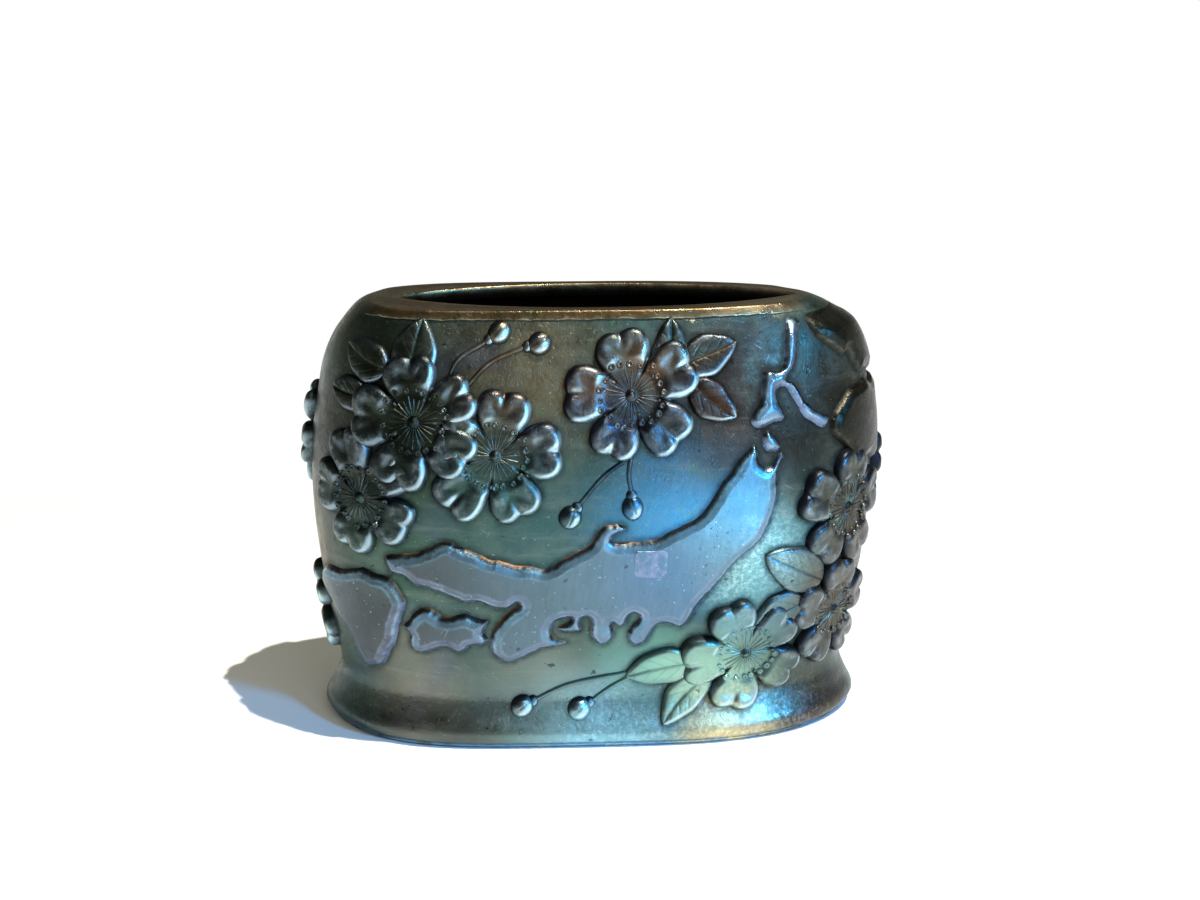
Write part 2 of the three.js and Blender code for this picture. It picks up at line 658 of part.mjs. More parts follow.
function bodyCasting() {
  let form = outerForm();
  for (const piece of BRANCH_PIECES) form = form.add(branchPiece(piece));
  for (const place of LEAVES) form = form.add(leaf(place));
  for (const place of BUDS) form = form.add(bud(place));
  for (const place of BLOSSOMS) form = form.add(blossom(place));
  form = form.subtract(hollow());
  form = form.subtract(squarePlug(GAP, -WALL - CUT_BEYOND, BRANCH_RELIEF + CUT_BEYOND));
  for (const plug of ROUND_PLUGS) {
    form = form.subtract(roundPlug(plug, GAP, -WALL - CUT_BEYOND, CUT_BEYOND));
  }
  return form;
}

// Bottom

function basePlate() {
  const inset = FOOT_THICKNESS + GAP;
  return solidOf(loft([
    ringAt(PLATE_RECESS, inset, INNER_STEPS, 0),
    ringAt(PLATE_RECESS + PLATE_THICKNESS, inset, INNER_STEPS, 0),
  ]));
}

// Three-sided bead in the corner between the plate's underside and the foot.
function solderSeam() {
  const top = PLATE_RECESS - GAP;
  const outside = FOOT_THICKNESS + GAP;
  const count = INNER_STEPS;
  const rings = [
    ringAt(top - SEAM_SIZE, outside, count, 0),
    ringAt(top, outside + SEAM_SIZE, count, 0),
    ringAt(top, outside, count, 0),
  ];
  const faces = [];
  for (let side = 0; side < rings.length; side += 1) {
    const next = (side + 1) % rings.length;
    for (let i = 0; i < count; i += 1) {
      const j = (i + 1) % count;
      faces.push(side * count + i, next * count + j, side * count + j);
      faces.push(side * count + i, next * count + i, next * count + j);
    }
  }
  const geometry = new THREE.BufferGeometry();
  const places = rings.flat().flatMap((point) => [point.x, point.y, point.z]);
  geometry.setAttribute('position', new THREE.Float32BufferAttribute(places, 3));
  geometry.setIndex(faces);
  return solidOf(geometry);
}

// Assembly

const PATINA = new THREE.MeshStandardMaterial({ color: 0x4a5648, roughness: 0.42, metalness: 0.85 });
const RAW_BRONZE = new THREE.MeshStandardMaterial({ color: 0x5d4a33, roughness: 0.6, metalness: 0.8 });
const SOLDER = new THREE.MeshStandardMaterial({ color: 0x77746b, roughness: 0.55, metalness: 0.7 });

function piece(name, solid, material) {
  const mesh = new THREE.Mesh(geometryOf(solid), material);
  mesh.name = name;
  return mesh;
}

const vase = new THREE.Group();
vase.add(piece('body_casting', bodyCasting(), PATINA));
vase.add(piece('base_plate', basePlate(), RAW_BRONZE));
vase.add(piece('base_solder_seam', solderSeam(), SOLDER));
vase.add(piece('core_plug_front', squarePlug(0, -WALL - PLUG_PROUD_INSIDE, BRANCH_RELIEF), PATINA));
for (const plug of ROUND_PLUGS) {
  vase.add(piece(plug.name, roundPlug(plug, 0, -WALL - PLUG_PROUD_INSIDE, 0), PATINA));
}

export default vase;
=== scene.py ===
import math

import bpy
import numpy as np
from mathutils import Matrix, Vector
from mathutils.kdtree import KDTree


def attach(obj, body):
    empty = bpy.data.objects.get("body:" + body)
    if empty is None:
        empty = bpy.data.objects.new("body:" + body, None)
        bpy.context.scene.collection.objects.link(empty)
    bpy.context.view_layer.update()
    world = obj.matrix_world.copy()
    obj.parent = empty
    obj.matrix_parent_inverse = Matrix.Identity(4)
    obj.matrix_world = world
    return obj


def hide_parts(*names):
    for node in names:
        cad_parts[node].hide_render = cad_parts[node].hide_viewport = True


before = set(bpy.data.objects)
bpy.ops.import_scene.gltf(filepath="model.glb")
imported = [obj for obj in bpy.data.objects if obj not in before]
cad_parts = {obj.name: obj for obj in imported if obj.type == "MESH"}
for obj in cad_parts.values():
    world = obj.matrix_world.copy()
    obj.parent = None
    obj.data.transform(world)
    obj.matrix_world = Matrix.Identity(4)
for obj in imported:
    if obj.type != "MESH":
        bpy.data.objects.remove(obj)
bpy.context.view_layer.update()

# Driving dimensions, in millimetres as on the vase. Meshes are scaled to metres when they are made.

MM = 0.001
HEIGHT = 145.0
WALL = 3.2
LIP_HEIGHT = 2.8
LIP_STEP = 0.6
SUNK = 0.4

# Height, width left and right of the middle, depth in front and behind, squareness at the left and the right
# end, rounding of the front's corners (smaller is squarer), shift of the middle to the right
SECTIONS = np.array([
    (0, 90.2, 90.2, 41.2, 41.2, 4.2, 3.3, 0.60, -1.0),
    (4.5, 92.8, 92.8, 42.8, 42.8, 4.2, 3.3, 0.60, -1.0),
    (11, 89.8, 89.8, 40.2, 40.2, 4.2, 3.3, 0.60, -0.8),
    (17.5, 87.4, 87.4, 38.4, 38.4, 4.2, 3.3, 0.60, -0.6),
    (26, 88.4, 88.4, 40.0, 40.0, 4.3, 3.3, 0.60, -0.4),
    (40, 91.0, 91.0, 43.0, 43.0, 4.4, 3.3, 0.60, -0.2),
    (58, 93.6, 93.6, 45.4, 45.4, 4.5, 3.3, 0.60, 0.0),
    (80, 95.0, 95.0, 46.0, 46.0, 4.5, 3.2, 0.60, 0.0),
    (100, 94.4, 94.4, 44.2, 44.2, 4.5, 3.0, 0.60, 0.3),
    (113, 92.8, 92.4, 41.5, 41.0, 4.6, 2.8, 0.58, 0.8),
    (124, 91.0, 89.6, 38.0, 36.8, 4.8, 2.6, 0.54, 1.2),
    (133, 87.5, 85.4, 34.5, 32.0, 5.0, 2.5, 0.48, 1.6),
    (140, 82.6, 79.0, 31.2, 26.2, 5.0, 2.4, 0.42, 1.9),
    (HEIGHT, 78.2, 70.0, 28.8, 20.6, 5.0, 2.4, 0.38, 2.0),
])
BACK_ROUNDING = 0.60
# Half width, half depth, squareness, shift to the right and forward
MOUTH = (66.0, 20.5, 2.2, 1.0, 3.6)
MOUTH_ROUNDING = 0.8
MOUTH_DEPTH = 4.0
PLATE_RECESS = 2.4
PLATE_THICKNESS = 2.0
FOOT_THICKNESS = 4.2
LEDGE_WIDTH = 4.0
LEDGE_THICKNESS = 2.5
LEDGE_FADE = 6.0
GAP = 0.3
SEAM_SIZE = 1.3

FRONT = "front"
BACK = "back"

# Relief, as on the casting. Blossoms: face, run along the girth from the middle of the face, height, lift,
# how deeply the petals are cupped, and each petal's direction and reach
BLOSSOMS = [
    (FRONT, -33, 101.5, 0.0, 0.8, ((4, 20.2), (82, 19.4), (155, 19.4), (228, 22.2), (293, 20.6))),
    (FRONT, -77.5, 86, 0.2, 0.9, ((40, 20), (108, 21.5), (172, 20.5), (252, 17.8), (335, 18.4))),
    (FRONT, -58.7, 111.5, 0.7, 1.0, ((29, 19.8), (94, 19.4), (178, 20.8), (254, 20.6), (325, 20.8))),
    (FRONT, 9.2, 119.5, 0.4, 0.65, ((27, 21), (103, 19), (178, 20.4), (251, 19), (317.5, 21.2))),
    (FRONT, 48.7, 32, 0.4, 0.4, ((40, 19), (109, 18.6), (189.5, 20.8), (259, 20.4), (330, 20))),
    (FRONT, 83.5, 41.5, 0.3, 0.6, ((10, 19), (82, 18), (166, 17.6), (236, 19.4), (305, 19))),
    (FRONT, 87, 77.5, 0.3, 0.7, ((10, 19.5), (80, 18.5), (157, 20.6), (226, 19.5), (298, 19.5))),
    (BACK, 2, 124, 0.6, 0.8, ((20, 19.5), (90, 18), (163, 20), (236, 19.5), (306, 20))),
    (BACK, -58, 106, 0.5, 0.8, ((2, 20), (76, 20.6), (147, 19.6), (219, 20.4), (292, 20))),
    (BACK, -101, 85, 0.9, 0.6, ((20, 18), (94, 17.6), (165, 18), (237, 18), (309, 17.4))),
    (BACK, 104, 96, 0.9, 0.7, ((66, 18), (140, 17.6), (210, 18), (281, 18), (353, 17.4))),
    (BACK, 103, 39, 0.9, 0.7, ((28, 18), (100, 17.6), (171, 18), (244, 18), (317, 17.4))),
    (BACK, 48, 32, 0.4, 0.6, ((60, 20), (133, 20.6), (203, 19.6), (277, 20.4), (348, 20))),
]
# Leaves: face, run and height of the tip, then of the base, and width
LEAVES = [
    (FRONT, 21.5, 142.5, 20.3, 122.0, 12.5),
    (FRONT, 42.7, 134.6, 25.2, 128.2, 13.5),
    (FRONT, 43.2, 111.8, 28.5, 122.8, 12.0),
    (FRONT, -56.5, 142.5, -60.5, 123.5, 15.5),
    (FRONT, -83.5, 133.5, -68.0, 126.5, 13.5),
    (FRONT, -91.0, 119.8, -75.0, 118.0, 11.5),
    (FRONT, 9.0, 25.0, 31.0, 29.5, 14.0),
    (FRONT, 22.0, 7.5, 36.5, 24.5, 13.0),
    (FRONT, 50.5, 41.5, 69.5, 48.0, 14.5),
    (FRONT, 54.2, 66.5, 76.0, 54.5, 16.0),
    (BACK, -88, 126, -72, 113, 13.0),
    (BACK, 76, 128, 88, 112, 13.0),
    (BACK, 30, 54, 42, 42, 12.0),
]
LEAF_BASE_POWER = 0.5
LEAF_TIP_POWER = 0.75
# Buds: face, run, height, length, width, turn, places of the stem
BUDS = [
    (FRONT, -33.5, 138, 10, 6.6, 32, [(-45.5, 130.5), (-48.5, 124)]),
    (FRONT, -20.9, 135, 10, 6.8, 12, [(-35.4, 129.6), (-43, 122)]),
    (FRONT, -8.7, 82.4, 10, 7, 235, [(0.7, 94.2), (7, 99)]),
    (FRONT, 10.4, 85.4, 10.5, 6.6, 275, [(9.2, 95), (9.8, 101)]),
    (FRONT, -23.6, 14.6, 10, 7, 205, [(-8.2, 21.9), (11, 26)]),
    (FRONT, -4.8, 13.6, 10, 7.2, 210, [(4.4, 20.1), (12, 25)]),
    (BACK, 40, 128, 10, 7, 150, [(52, 121), (58, 110)]),
    (BACK, 6, 18, 10, 7, 200, [(16, 22), (30, 29)]),
]
# Names, faces and outlines of the branch's raised pieces, as runs and heights. Those in front were read off the
# photo by hand, and a scratch script worked out where they lie on the wall. The others are guessed.
BRANCH_PIECES = [
    ("branch_front", FRONT, [
        (-69.3, 67.6), (-66.8, 68.4), (-62.5, 68.8), (-58.3, 69.6), (-55.0, 71.0), (-52.2, 72.6),
        (-49.4, 73.7), (-47.0, 73.5), (-44.7, 72.3), (-42.4, 71.1), (-39.3, 70.2), (-36.9, 68.8),
        (-34.6, 67.8), (-32.3, 67.7), (-29.2, 66.6), (-26.1, 65.4), (-22.9, 65.8), (-19.6, 64.9),
        (-16.9, 64.5), (-14.2, 65.9), (-11.6, 67.7), (-8.8, 69.2), (-6.2, 70.5), (-3.5, 72.0), (-2.0, 74.0),
        (-0.8, 76.3), (0.5, 78.1), (2.4, 79.1), (5.0, 79.1), (7.2, 79.2), (8.8, 78.3), (8.3, 77.0),
        (6.2, 76.2), (4.6, 75.4), (3.7, 73.9), (5.6, 73.0), (9.1, 73.0), (12.6, 73.3), (16.5, 73.6),
        (19.3, 74.4), (22.4, 76.4), (25.9, 77.9), (30.3, 80.0), (33.4, 82.4), (35.3, 85.4), (37.3, 88.5),
        (38.8, 91.6), (41.2, 93.9), (42.8, 96.2), (44.4, 98.8), (46.7, 100.9), (48.4, 102.7), (49.8, 103.2),
        (50.7, 101.5), (50.7, 99.3), (51.3, 97.2), (52.8, 95.9), (54.5, 95.5), (55.9, 96.5), (56.9, 98.3),
        (58.1, 99.5), (59.9, 99.8), (59.8, 98.4), (58.5, 96.4), (57.6, 93.6), (57.8, 90.4), (58.0, 87.1),
        (57.4, 83.2), (56.2, 79.7), (54.9, 76.2), (52.9, 72.1), (50.4, 69.7), (47.9, 67.9), (45.1, 65.8),
        (42.3, 63.1), (40.1, 60.0), (37.8, 57.3), (36.2, 55.2), (33.7, 52.8), (32.0, 50.5), (30.5, 47.4),
        (29.1, 44.6), (27.0, 42.8), (25.5, 42.8), (23.0, 44.1), (19.9, 44.4), (17.9, 42.8), (16.8, 40.0),
        (15.3, 37.4), (13.0, 36.4), (10.9, 36.8), (9.4, 39.0), (9.5, 41.7), (10.7, 43.7), (12.3, 45.5),
        (13.1, 47.3), (11.5, 48.5), (9.8, 47.8), (9.2, 45.9), (8.6, 44.1), (7.1, 43.2), (5.5, 44.0),
        (4.2, 45.3), (4.6, 43.3), (5.0, 40.6), (4.0, 38.0), (1.7, 36.6), (-0.7, 37.5), (-2.3, 40.0),
        (-2.6, 42.8), (-2.3, 45.4), (-2.8, 46.9), (-4.5, 47.2), (-5.9, 46.6), (-5.9, 44.6), (-5.4, 42.7),
        (-6.5, 41.9), (-8.9, 41.8), (-11.4, 42.1), (-13.8, 43.1), (-11.9, 44.3), (-9.9, 45.6), (-8.8, 46.7),
        (-9.6, 47.3), (-11.9, 46.9), (-14.0, 45.8), (-15.2, 43.9), (-15.0, 40.8), (-13.8, 39.5), (-12.5, 39.0),
        (-9.9, 38.1), (-12.4, 37.0), (-15.9, 36.2), (-18.4, 35.6), (-21.4, 34.1), (-25.4, 31.7), (-28.4, 30.4),
        (-31.5, 31.0), (-34.5, 34.0), (-35.2, 38.7), (-34.7, 42.0), (-33.4, 44.1), (-30.9, 47.7),
        (-28.0, 50.4), (-25.2, 52.1), (-26.1, 52.7), (-26.9, 52.3), (-28.9, 50.9), (-31.3, 50.5),
        (-32.9, 50.5), (-35.6, 51.4), (-38.0, 52.8), (-40.4, 53.3), (-42.7, 52.8), (-45.1, 53.5),
        (-48.3, 55.2), (-52.7, 56.8), (-56.3, 57.9), (-59.6, 58.1), (-61.6, 60.0), (-63.2, 61.3),
        (-67.5, 61.7), (-68.8, 64.0),
    ]),
    ("branch_scrap", FRONT, [
        (-63.9, 43.0), (-62.0, 45.2), (-59.9, 48.1), (-57.3, 50.4), (-54.8, 50.6), (-52.8, 49.3),
        (-50.8, 47.7), (-48.4, 47.2), (-45.2, 48.4), (-42.8, 48.7), (-40.4, 47.4), (-37.6, 46.7),
        (-35.5, 46.6), (-36.1, 45.0), (-36.9, 42.8), (-36.8, 40.9), (-35.5, 39.5), (-37.6, 37.1),
        (-39.4, 37.3), (-41.4, 37.1), (-43.2, 35.3), (-44.9, 34.0), (-47.0, 34.9), (-49.0, 36.3),
        (-51.8, 35.8), (-55.0, 34.3), (-58.3, 33.3), (-61.2, 34.8), (-61.8, 37.7), (-61.3, 39.9),
        (-62.5, 41.8),
    ]),
    ("branch_left", FRONT, [
        (-104, 55), (-98, 58), (-89.4, 58.4), (-82.2, 60.6), (-78.1, 62.0), (-76.0, 61.4), (-72.5, 60.4),
        (-69.8, 60.3), (-67.7, 59.7), (-65.3, 57.0), (-64.0, 54.4), (-62.7, 52.1), (-63.5, 48.9),
        (-64.7, 45.6), (-65.6, 42.5), (-66.3, 38.9), (-67.1, 35.5), (-69.2, 32.3), (-70.3, 29.3),
        (-72.2, 26.1), (-75.3, 24.7), (-78.9, 23.3), (-81.0, 25.8), (-83.4, 28.7), (-85.0, 33), (-88, 37),
        (-92, 39), (-95, 43), (-101, 46), (-106, 50),
    ]),
    ("branch_upper", FRONT, [
        (60.2, 140.6), (61.8, 140.9), (63.6, 140.4), (65.3, 139.0), (64.9, 137.2), (64.3, 135.8),
        (63.9, 132.7), (63.5, 130.3), (62.9, 127.0), (62.0, 124.9), (60.4, 123.3), (60.5, 121.9),
        (62.8, 121.1), (64.6, 119.4), (66.0, 116.7), (67.1, 115.1), (69.3, 113.2), (71.6, 111.6),
        (75.2, 110.1), (78.0, 109.0), (77.4, 107.3), (75.7, 105.3), (71.4, 107.6), (67.7, 109.6),
        (65.9, 111.9), (64.7, 114.0), (63.1, 116.0), (61.5, 118.2), (60.5, 119.7), (59.0, 120.1),
        (57.6, 119.9), (56.7, 118.9), (57.1, 116.9), (58.1, 114.8), (59.2, 112.9), (60.1, 111.3),
        (59.2, 109.7), (56.9, 109.6), (54.6, 109.0), (52.5, 108.3), (50.7, 107.9), (48.4, 109.1),
        (48.1, 111.0), (48.9, 112.8), (50.5, 114.9), (51.3, 116.7), (51.6, 120.7), (52.0, 123.5),
        (52.1, 125.0), (54.0, 125.6), (56.0, 125.0), (57.9, 125.5), (59.1, 126.2), (59.3, 128.5),
        (59.2, 132.7), (59.7, 136.8), (59.9, 139.2),
    ]),
    ("branch_bead", FRONT, [
        (52.2, 105.0), (52.8, 106.5), (54.3, 107.4), (55.4, 106.1), (57.0, 104.9), (58.3, 103.2),
        (58.8, 101.7), (58.2, 100.7), (57.0, 100.2), (55.6, 100.3), (53.8, 100.8), (52.6, 102.2),
    ]),
    ("branch_shoulder", FRONT, [
        (66.5, 141.6), (67.4, 138.9), (69.2, 136.5), (71.4, 134.0), (73.7, 132.3), (75.9, 130.9),
        (79.6, 128.6), (82.6, 126.4), (85.4, 127.5), (87.7, 125.0), (90.2, 122.1), (93, 119.2), (97, 121),
        (103, 118.5), (110, 121), (117, 117.5), (124, 121), (129, 127), (127, 134), (122, 141.6),
    ]),
    ("branch_right", FRONT, [
        (93, 117.0), (90.2, 116.6), (86.0, 115.6), (83.4, 112.9), (80.5, 110.5), (78.5, 108.3), (78.1, 105.6),
        (78.9, 102.9), (81.9, 100.5), (86.2, 97.4), (88.6, 92.5), (94, 89), (101, 92), (108, 88), (118, 90),
        (125, 97), (122, 105), (126, 112), (118, 115.5), (110, 118), (103, 115.5), (97, 118),
    ]),
    ("branch_back", BACK, [
        (-62, 46), (-52, 41), (-40, 43), (-30, 50), (-18, 52), (-8, 47), (4, 50), (14, 58), (26, 61), (38, 58),
        (52, 62), (64, 71), (72, 80), (66, 82), (54, 74), (42, 70), (34, 72), (36, 81), (30, 84), (24, 74),
        (12, 72), (0, 66), (-10, 66), (-16, 74), (-22, 73), (-22, 65), (-34, 62), (-46, 56), (-58, 54),
    ]),
    ("branch_back_side", BACK, [
        (-92, 34), (-84, 26), (-76, 30), (-72, 40), (-76, 52), (-84, 62), (-92, 56), (-96, 45),
    ]),
]
PLATES = ("branch_shoulder", "branch_right")
# A long scratch on the wall, as runs and heights, and its depth and width
SCRATCH = [(38.0, 79.2), (39.4, 76.5), (41.4, 74.0), (43.5, 70.8)]
SCRATCH_DEPTH = 0.3
SCRATCH_WIDTH = 0.5
# Face, run, height, width, height of its head, rounding and turn of its corners
SQUARE_PLUG = (FRONT, 16.5, 65.8, 10.6, 9.4, 1.4, -3)
SQUARE_PLUG_DRAWS = 71
SQUARE_PLUG_PROUD = 0.06
RAGGED = 0.35
ROUND_PLUG_RADIUS = 3.2
ROUND_PLUG_PROUD = 0.3
ROUND_PLUGS = [
    ("core_plug_back", BACK, 6, 82),
    ("core_plug_left", BACK, 76, 66),
    ("core_plug_right", BACK, -84, 130),
]
PLUG_PROUD_INSIDE = 0.6

# Relief of blossoms: depths and widths of their hollows, and the shares of the radius between which they start
SIDE_WIDTH = 2.6
EDGE_HEIGHT = 0.3
ROLL_AT = 2.8
ROLL_END = 7.6
ROLL_SPAN = (0.44, 0.62)
CUP_SPAN = (0.36, 0.62)
MIDDLE_RELIEF = 1.25
PETAL_CRESTS = (2.8, 3.2)
PETAL_TILT = 0.25
NOTCH_DEPTH, NOTCH_WIDTH, NOTCH_SPAN = 0.9, 1.2, (0.6, 0.95)
GAP_DEPTH, GAP_WIDTH, GAP_SPAN = 0.8, 0.5, (0.26, 0.45)
VALLEY_DEPTH, VALLEY_WIDTH = 0.5, 1.8
KNOB_HEIGHT, KNOB_RADIUS = 1.0, 1.25
RING_DEPTH, RING_RADIUS, RING_WIDTH = 0.35, 2.2, 0.8
# Relief of the branch: how far in its side, bevel and top start, and how high they are
BRANCH_SIDE = 1.35
BRANCH_EDGE = 3.4
BRANCH_SHOULDER = 1.5
BRANCH_TOP = 2.2


# Small helpers

def smoothstep(low, high, value):
    t = np.clip((value - low) / (high - low), 0, 1)
    return t * t * (3 - 2 * t)


def bump_at(value, centre, width):
    return np.exp(-((value - centre) / width) ** 2)


def turns(count):
    """Angles evenly spread round a circle."""
    return np.arange(count) / count * 2 * np.pi


def turned(x, y, along, across, angle):
    """The place that lies along and across a direction from a place."""
    cos, sin = math.cos(angle), math.sin(angle)
    return x + along * cos - across * sin, y + along * sin + across * cos


def lattice_noise(points, size, seed):
    """Smooth noise from -1 to 1 at points, with lumps about size across."""
    side = 32
    table = np.random.RandomState(seed).uniform(-1, 1, (side, side, side))
    scaled = np.asarray(points) / size
    low = np.floor(scaled).astype(int)
    t = scaled - low
    t = t * t * (3 - 2 * t)
    total = 0
    for corner in np.ndindex(2, 2, 2):
        value = table[tuple((low + corner).T % side)]
        total = total + value * np.abs(1 - np.array(corner) - t).prod(axis=1)
    return total


def smooth_curve(places, values, at):
    """A smooth curve through values at rising places, the same curve as in the casting's solid."""
    slope = np.empty(len(places))
    slope[1:-1] = (values[2:] - values[:-2]) / (places[2:] - places[:-2])
    slope[0] = (values[1] - values[0]) / (places[1] - places[0])
    slope[-1] = (values[-1] - values[-2]) / (places[-1] - places[-2])
    i = np.clip(np.searchsorted(places, at, side="right") - 1, 0, len(places) - 2)
    span = places[i + 1] - places[i]
    t = np.clip((at - places[i]) / span, 0, 1)
    rise = t * t * (3 - 2 * t)
    curve = slope[i] * t * (1 - t) ** 2 - slope[i + 1] * t * t * (1 - t)
    return values[i] * (1 - rise) + values[i + 1] * rise + span * curve


# The wall's form

def section_at(height):
    return tuple(float(smooth_curve(SECTIONS[:, 0], SECTIONS[:, column], height)) for column in range(1, 9))


PLAN_STEPS = 1440
FRACTIONS = 1536


def plan_ring(section, inset=0.0, count=FRACTIONS, extra_depth=0.0, back_rounding=BACK_ROUNDING):
    """Points evenly spread along a plan curve, from the middle of the front to the right, and its lengths."""
    left, right, front, back, left_power, right_power, front_rounding, shift = section
    angle = np.linspace(-np.pi / 2, 1.5 * np.pi, PLAN_STEPS + 1)
    cos, sin = np.cos(angle), np.sin(angle)
    cos[np.abs(cos) < 1e-12] = 0
    sin[np.abs(sin) < 1e-12] = 0
    on_right, in_front = cos >= 0, sin < 0
    power = np.where(on_right, right_power, left_power)
    rounding = np.where(in_front, front_rounding, back_rounding)
    width = np.where(on_right, right, left) - inset
    depth = np.where(in_front, front, back) + extra_depth - inset
    x = shift + width * np.sign(cos) * np.abs(cos) ** (2 / power)
    y = depth * np.sign(sin) * np.abs(sin) ** (2 * rounding)
    runs = np.concatenate([[0], np.cumsum(np.hypot(np.diff(x), np.diff(y)))])
    wanted = np.arange(count) / count * runs[-1]
    points = np.stack([np.interp(wanted, runs, x), np.interp(wanted, runs, y)], 1)
    return points, runs[-1], runs[PLAN_STEPS // 2]


TABLE_STEP = 0.5
TABLE_HEIGHTS = np.arange(0, HEIGHT + TABLE_STEP / 2, TABLE_STEP)
TABLE, GIRTH, BACK_RUN = map(np.array, zip(*(plan_ring(section_at(height)) for height in TABLE_HEIGHTS)))


def wall_points(face, run, height):
    """Points of the smooth outer wall, in millimetres."""
    run, height = np.broadcast_arrays(np.asarray(run, float), np.asarray(height, float))
    level = np.clip(height, 0, HEIGHT) / TABLE_STEP
    low = np.clip(np.floor(level).astype(int), 0, len(TABLE_HEIGHTS) - 2)
    t = level - low

    def on_ring(index):
        start = BACK_RUN[index] if face == BACK else 0.0
        share = ((start + run) / GIRTH[index]) % 1.0 * FRACTIONS
        i = np.floor(share).astype(int)
        u = (share - i)[..., None]
        return TABLE[index, i % FRACTIONS] * (1 - u) + TABLE[index, (i + 1) % FRACTIONS] * u

    plan = on_ring(low) * (1 - t[..., None]) + on_ring(low + 1) * t[..., None]
    return np.concatenate([plan, np.clip(height, 0, HEIGHT)[..., None]], -1)


NORMAL_STEP = 5.0


def wall_normals(face, run, height):
    top = HEIGHT - LIP_HEIGHT - 1
    level = np.minimum(height, top)
    low = np.maximum(0, level - NORMAL_STEP / 2)
    high = np.minimum(top, low + NORMAL_STEP)
    along = wall_points(face, run + NORMAL_STEP, level) - wall_points(face, run - NORMAL_STEP, level)
    up = wall_points(face, run, high) - wall_points(face, run, low)
    out = np.cross(along, up)
    return out / np.linalg.norm(out, axis=-1, keepdims=True)


def on_wall(face, run, height, relief):
    """Places given by run, height and relief above the wall, in millimetres."""
    run = np.asarray(run, float)
    height = np.minimum(np.asarray(height, float), HEIGHT - 0.5)
    places = wall_points(face, run, height) + wall_normals(face, run, height) * np.asarray(relief)[..., None]
    places[..., 2] = np.minimum(places[..., 2], HEIGHT - 0.2)
    return places


# Meshes

def add_object(name, data):
    item = bpy.data.objects.new(name, data)
    bpy.context.scene.collection.objects.link(item)
    return item


def make_piece(name, vertices, faces, material, marks=None, replaces="body_casting"):
    """A mesh object from vertices in millimetres, which rides on the vase. marks are values per vertex."""
    mesh = bpy.data.meshes.new(name)
    mesh.from_pydata((np.asarray(vertices) * MM).tolist(), [], [list(map(int, face)) for face in faces])
    mesh.validate()
    for mark, values in (marks or {}).items():
        layer = mesh.attributes.new(mark, "FLOAT", "POINT")
        layer.data.foreach_set("value", np.asarray(values, dtype=np.float32))
    mesh.shade_smooth()
    mesh.materials.append(material)
    piece = add_object(name, mesh)
    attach(piece, "root")
    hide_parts(replaces)


def grid_faces(rows, columns, closed=False, flip=False):
    """Quads of a grid whose rows follow one another. closed joins the last column to the first."""
    faces = []
    for r in range(rows - 1):
        for c in range(columns if closed else columns - 1):
            n = (c + 1) % columns
            quad = (r * columns + c, r * columns + n, (r + 1) * columns + n, (r + 1) * columns + c)
            faces.append(quad[::-1] if flip else quad)
    return faces


def tube_faces(rows, columns):
    """Quads of closed rows, of which the last is joined to the first."""
    last = (rows - 1) * columns
    joined = [(last + c, last + (c + 1) % columns, (c + 1) % columns, c) for c in range(columns)]
    return grid_faces(rows, columns, closed=True) + joined


class Pile:
    """Collects patches of vertices and faces into one mesh, with marks per vertex for its material."""

    MARKS = ("wear", "grime", "crest", "side", "bevel", "upward", "facing")

    def __init__(self):
        self.vertices, self.faces, self.count = [], [], 0
        self.marks = {mark: [] for mark in self.MARKS}

    def add(self, vertices, faces=None, closed=False, flip=False, **marks):
        """Adds vertices with their faces, or else rows of vertices as a grid."""
        if faces is None:
            faces = grid_faces(*vertices.shape[:2], closed, flip)
        vertices = vertices.reshape(-1, 3)
        self.faces += [tuple(i + self.count for i in face) for face in faces]
        self.vertices.append(vertices)
        for mark in self.MARKS:
            values = np.asarray(marks.get(mark, 0.0), float).ravel()
            self.marks[mark].append(np.broadcast_to(values, (len(vertices),)))
        self.count += len(vertices)

    def make(self, name, material):
        marks = {mark: np.concatenate(values) for mark, values in self.marks.items()}
        marks = {mark: values for mark, values in marks.items() if values.any()}
        make_piece(name, np.concatenate(self.vertices), self.faces, material, marks)


def facing_mark(x, y, relief, closed=False):
    """How far a grid's surface faces down to the right on the wall: 0 is up to the left, and 1 there.
    The patina paints light and shade on raised parts from it.
    """
    def across(values):
        if closed:
            return (np.roll(values, -1, axis=1) - np.roll(values, 1, axis=1)) / 2
        return np.gradient(values, axis=1)

    x_across, y_across, h_across = across(x), across(y), across(relief)
    x_along, y_along, h_along = (np.gradient(values, axis=0) for values in (x, y, relief))
    area = x_across * y_along - y_across * x_along
    area = np.where(np.abs(area) < 1e-6, 1e-6, area)
    slope_x = (h_across * y_along - y_across * h_along) / area
    slope_y = (x_across * h_along - h_across * x_along) / area
    toward = (slope_y - slope_x) / np.sqrt(2 * (1 + slope_x ** 2 + slope_y ** 2))
    return 0.5 + 0.5 * toward


def signed_distance(x, y, outline):
    """Distance inside (positive) or outside (negative) of a closed outline."""
    nearest = np.full(x.shape, 1e9)
    crossings = np.zeros(x.shape, int)
    for a, b in zip(outline, np.roll(outline, -1, axis=0)):
        d = b - a
        t = np.clip(((x - a[0]) * d[0] + (y - a[1]) * d[1]) / max(d @ d, 1e-12), 0, 1)
        nearest = np.minimum(nearest, np.hypot(x - a[0] - t * d[0], y - a[1] - t * d[1]))
        straddles = (a[1] > y) != (b[1] > y)
        if a[1] != b[1]:
            crossings += straddles & (x < a[0] + (y - a[1]) * d[0] / d[1])
    return np.where(crossings % 2 == 1, nearest, -nearest)


def rounded(share):
    """A quarter round from 0 to 1 as share goes from 0 to 1."""
    return np.sqrt(np.clip(1 - (1 - np.clip(share, 0, 1)) ** 2, 0, 1))


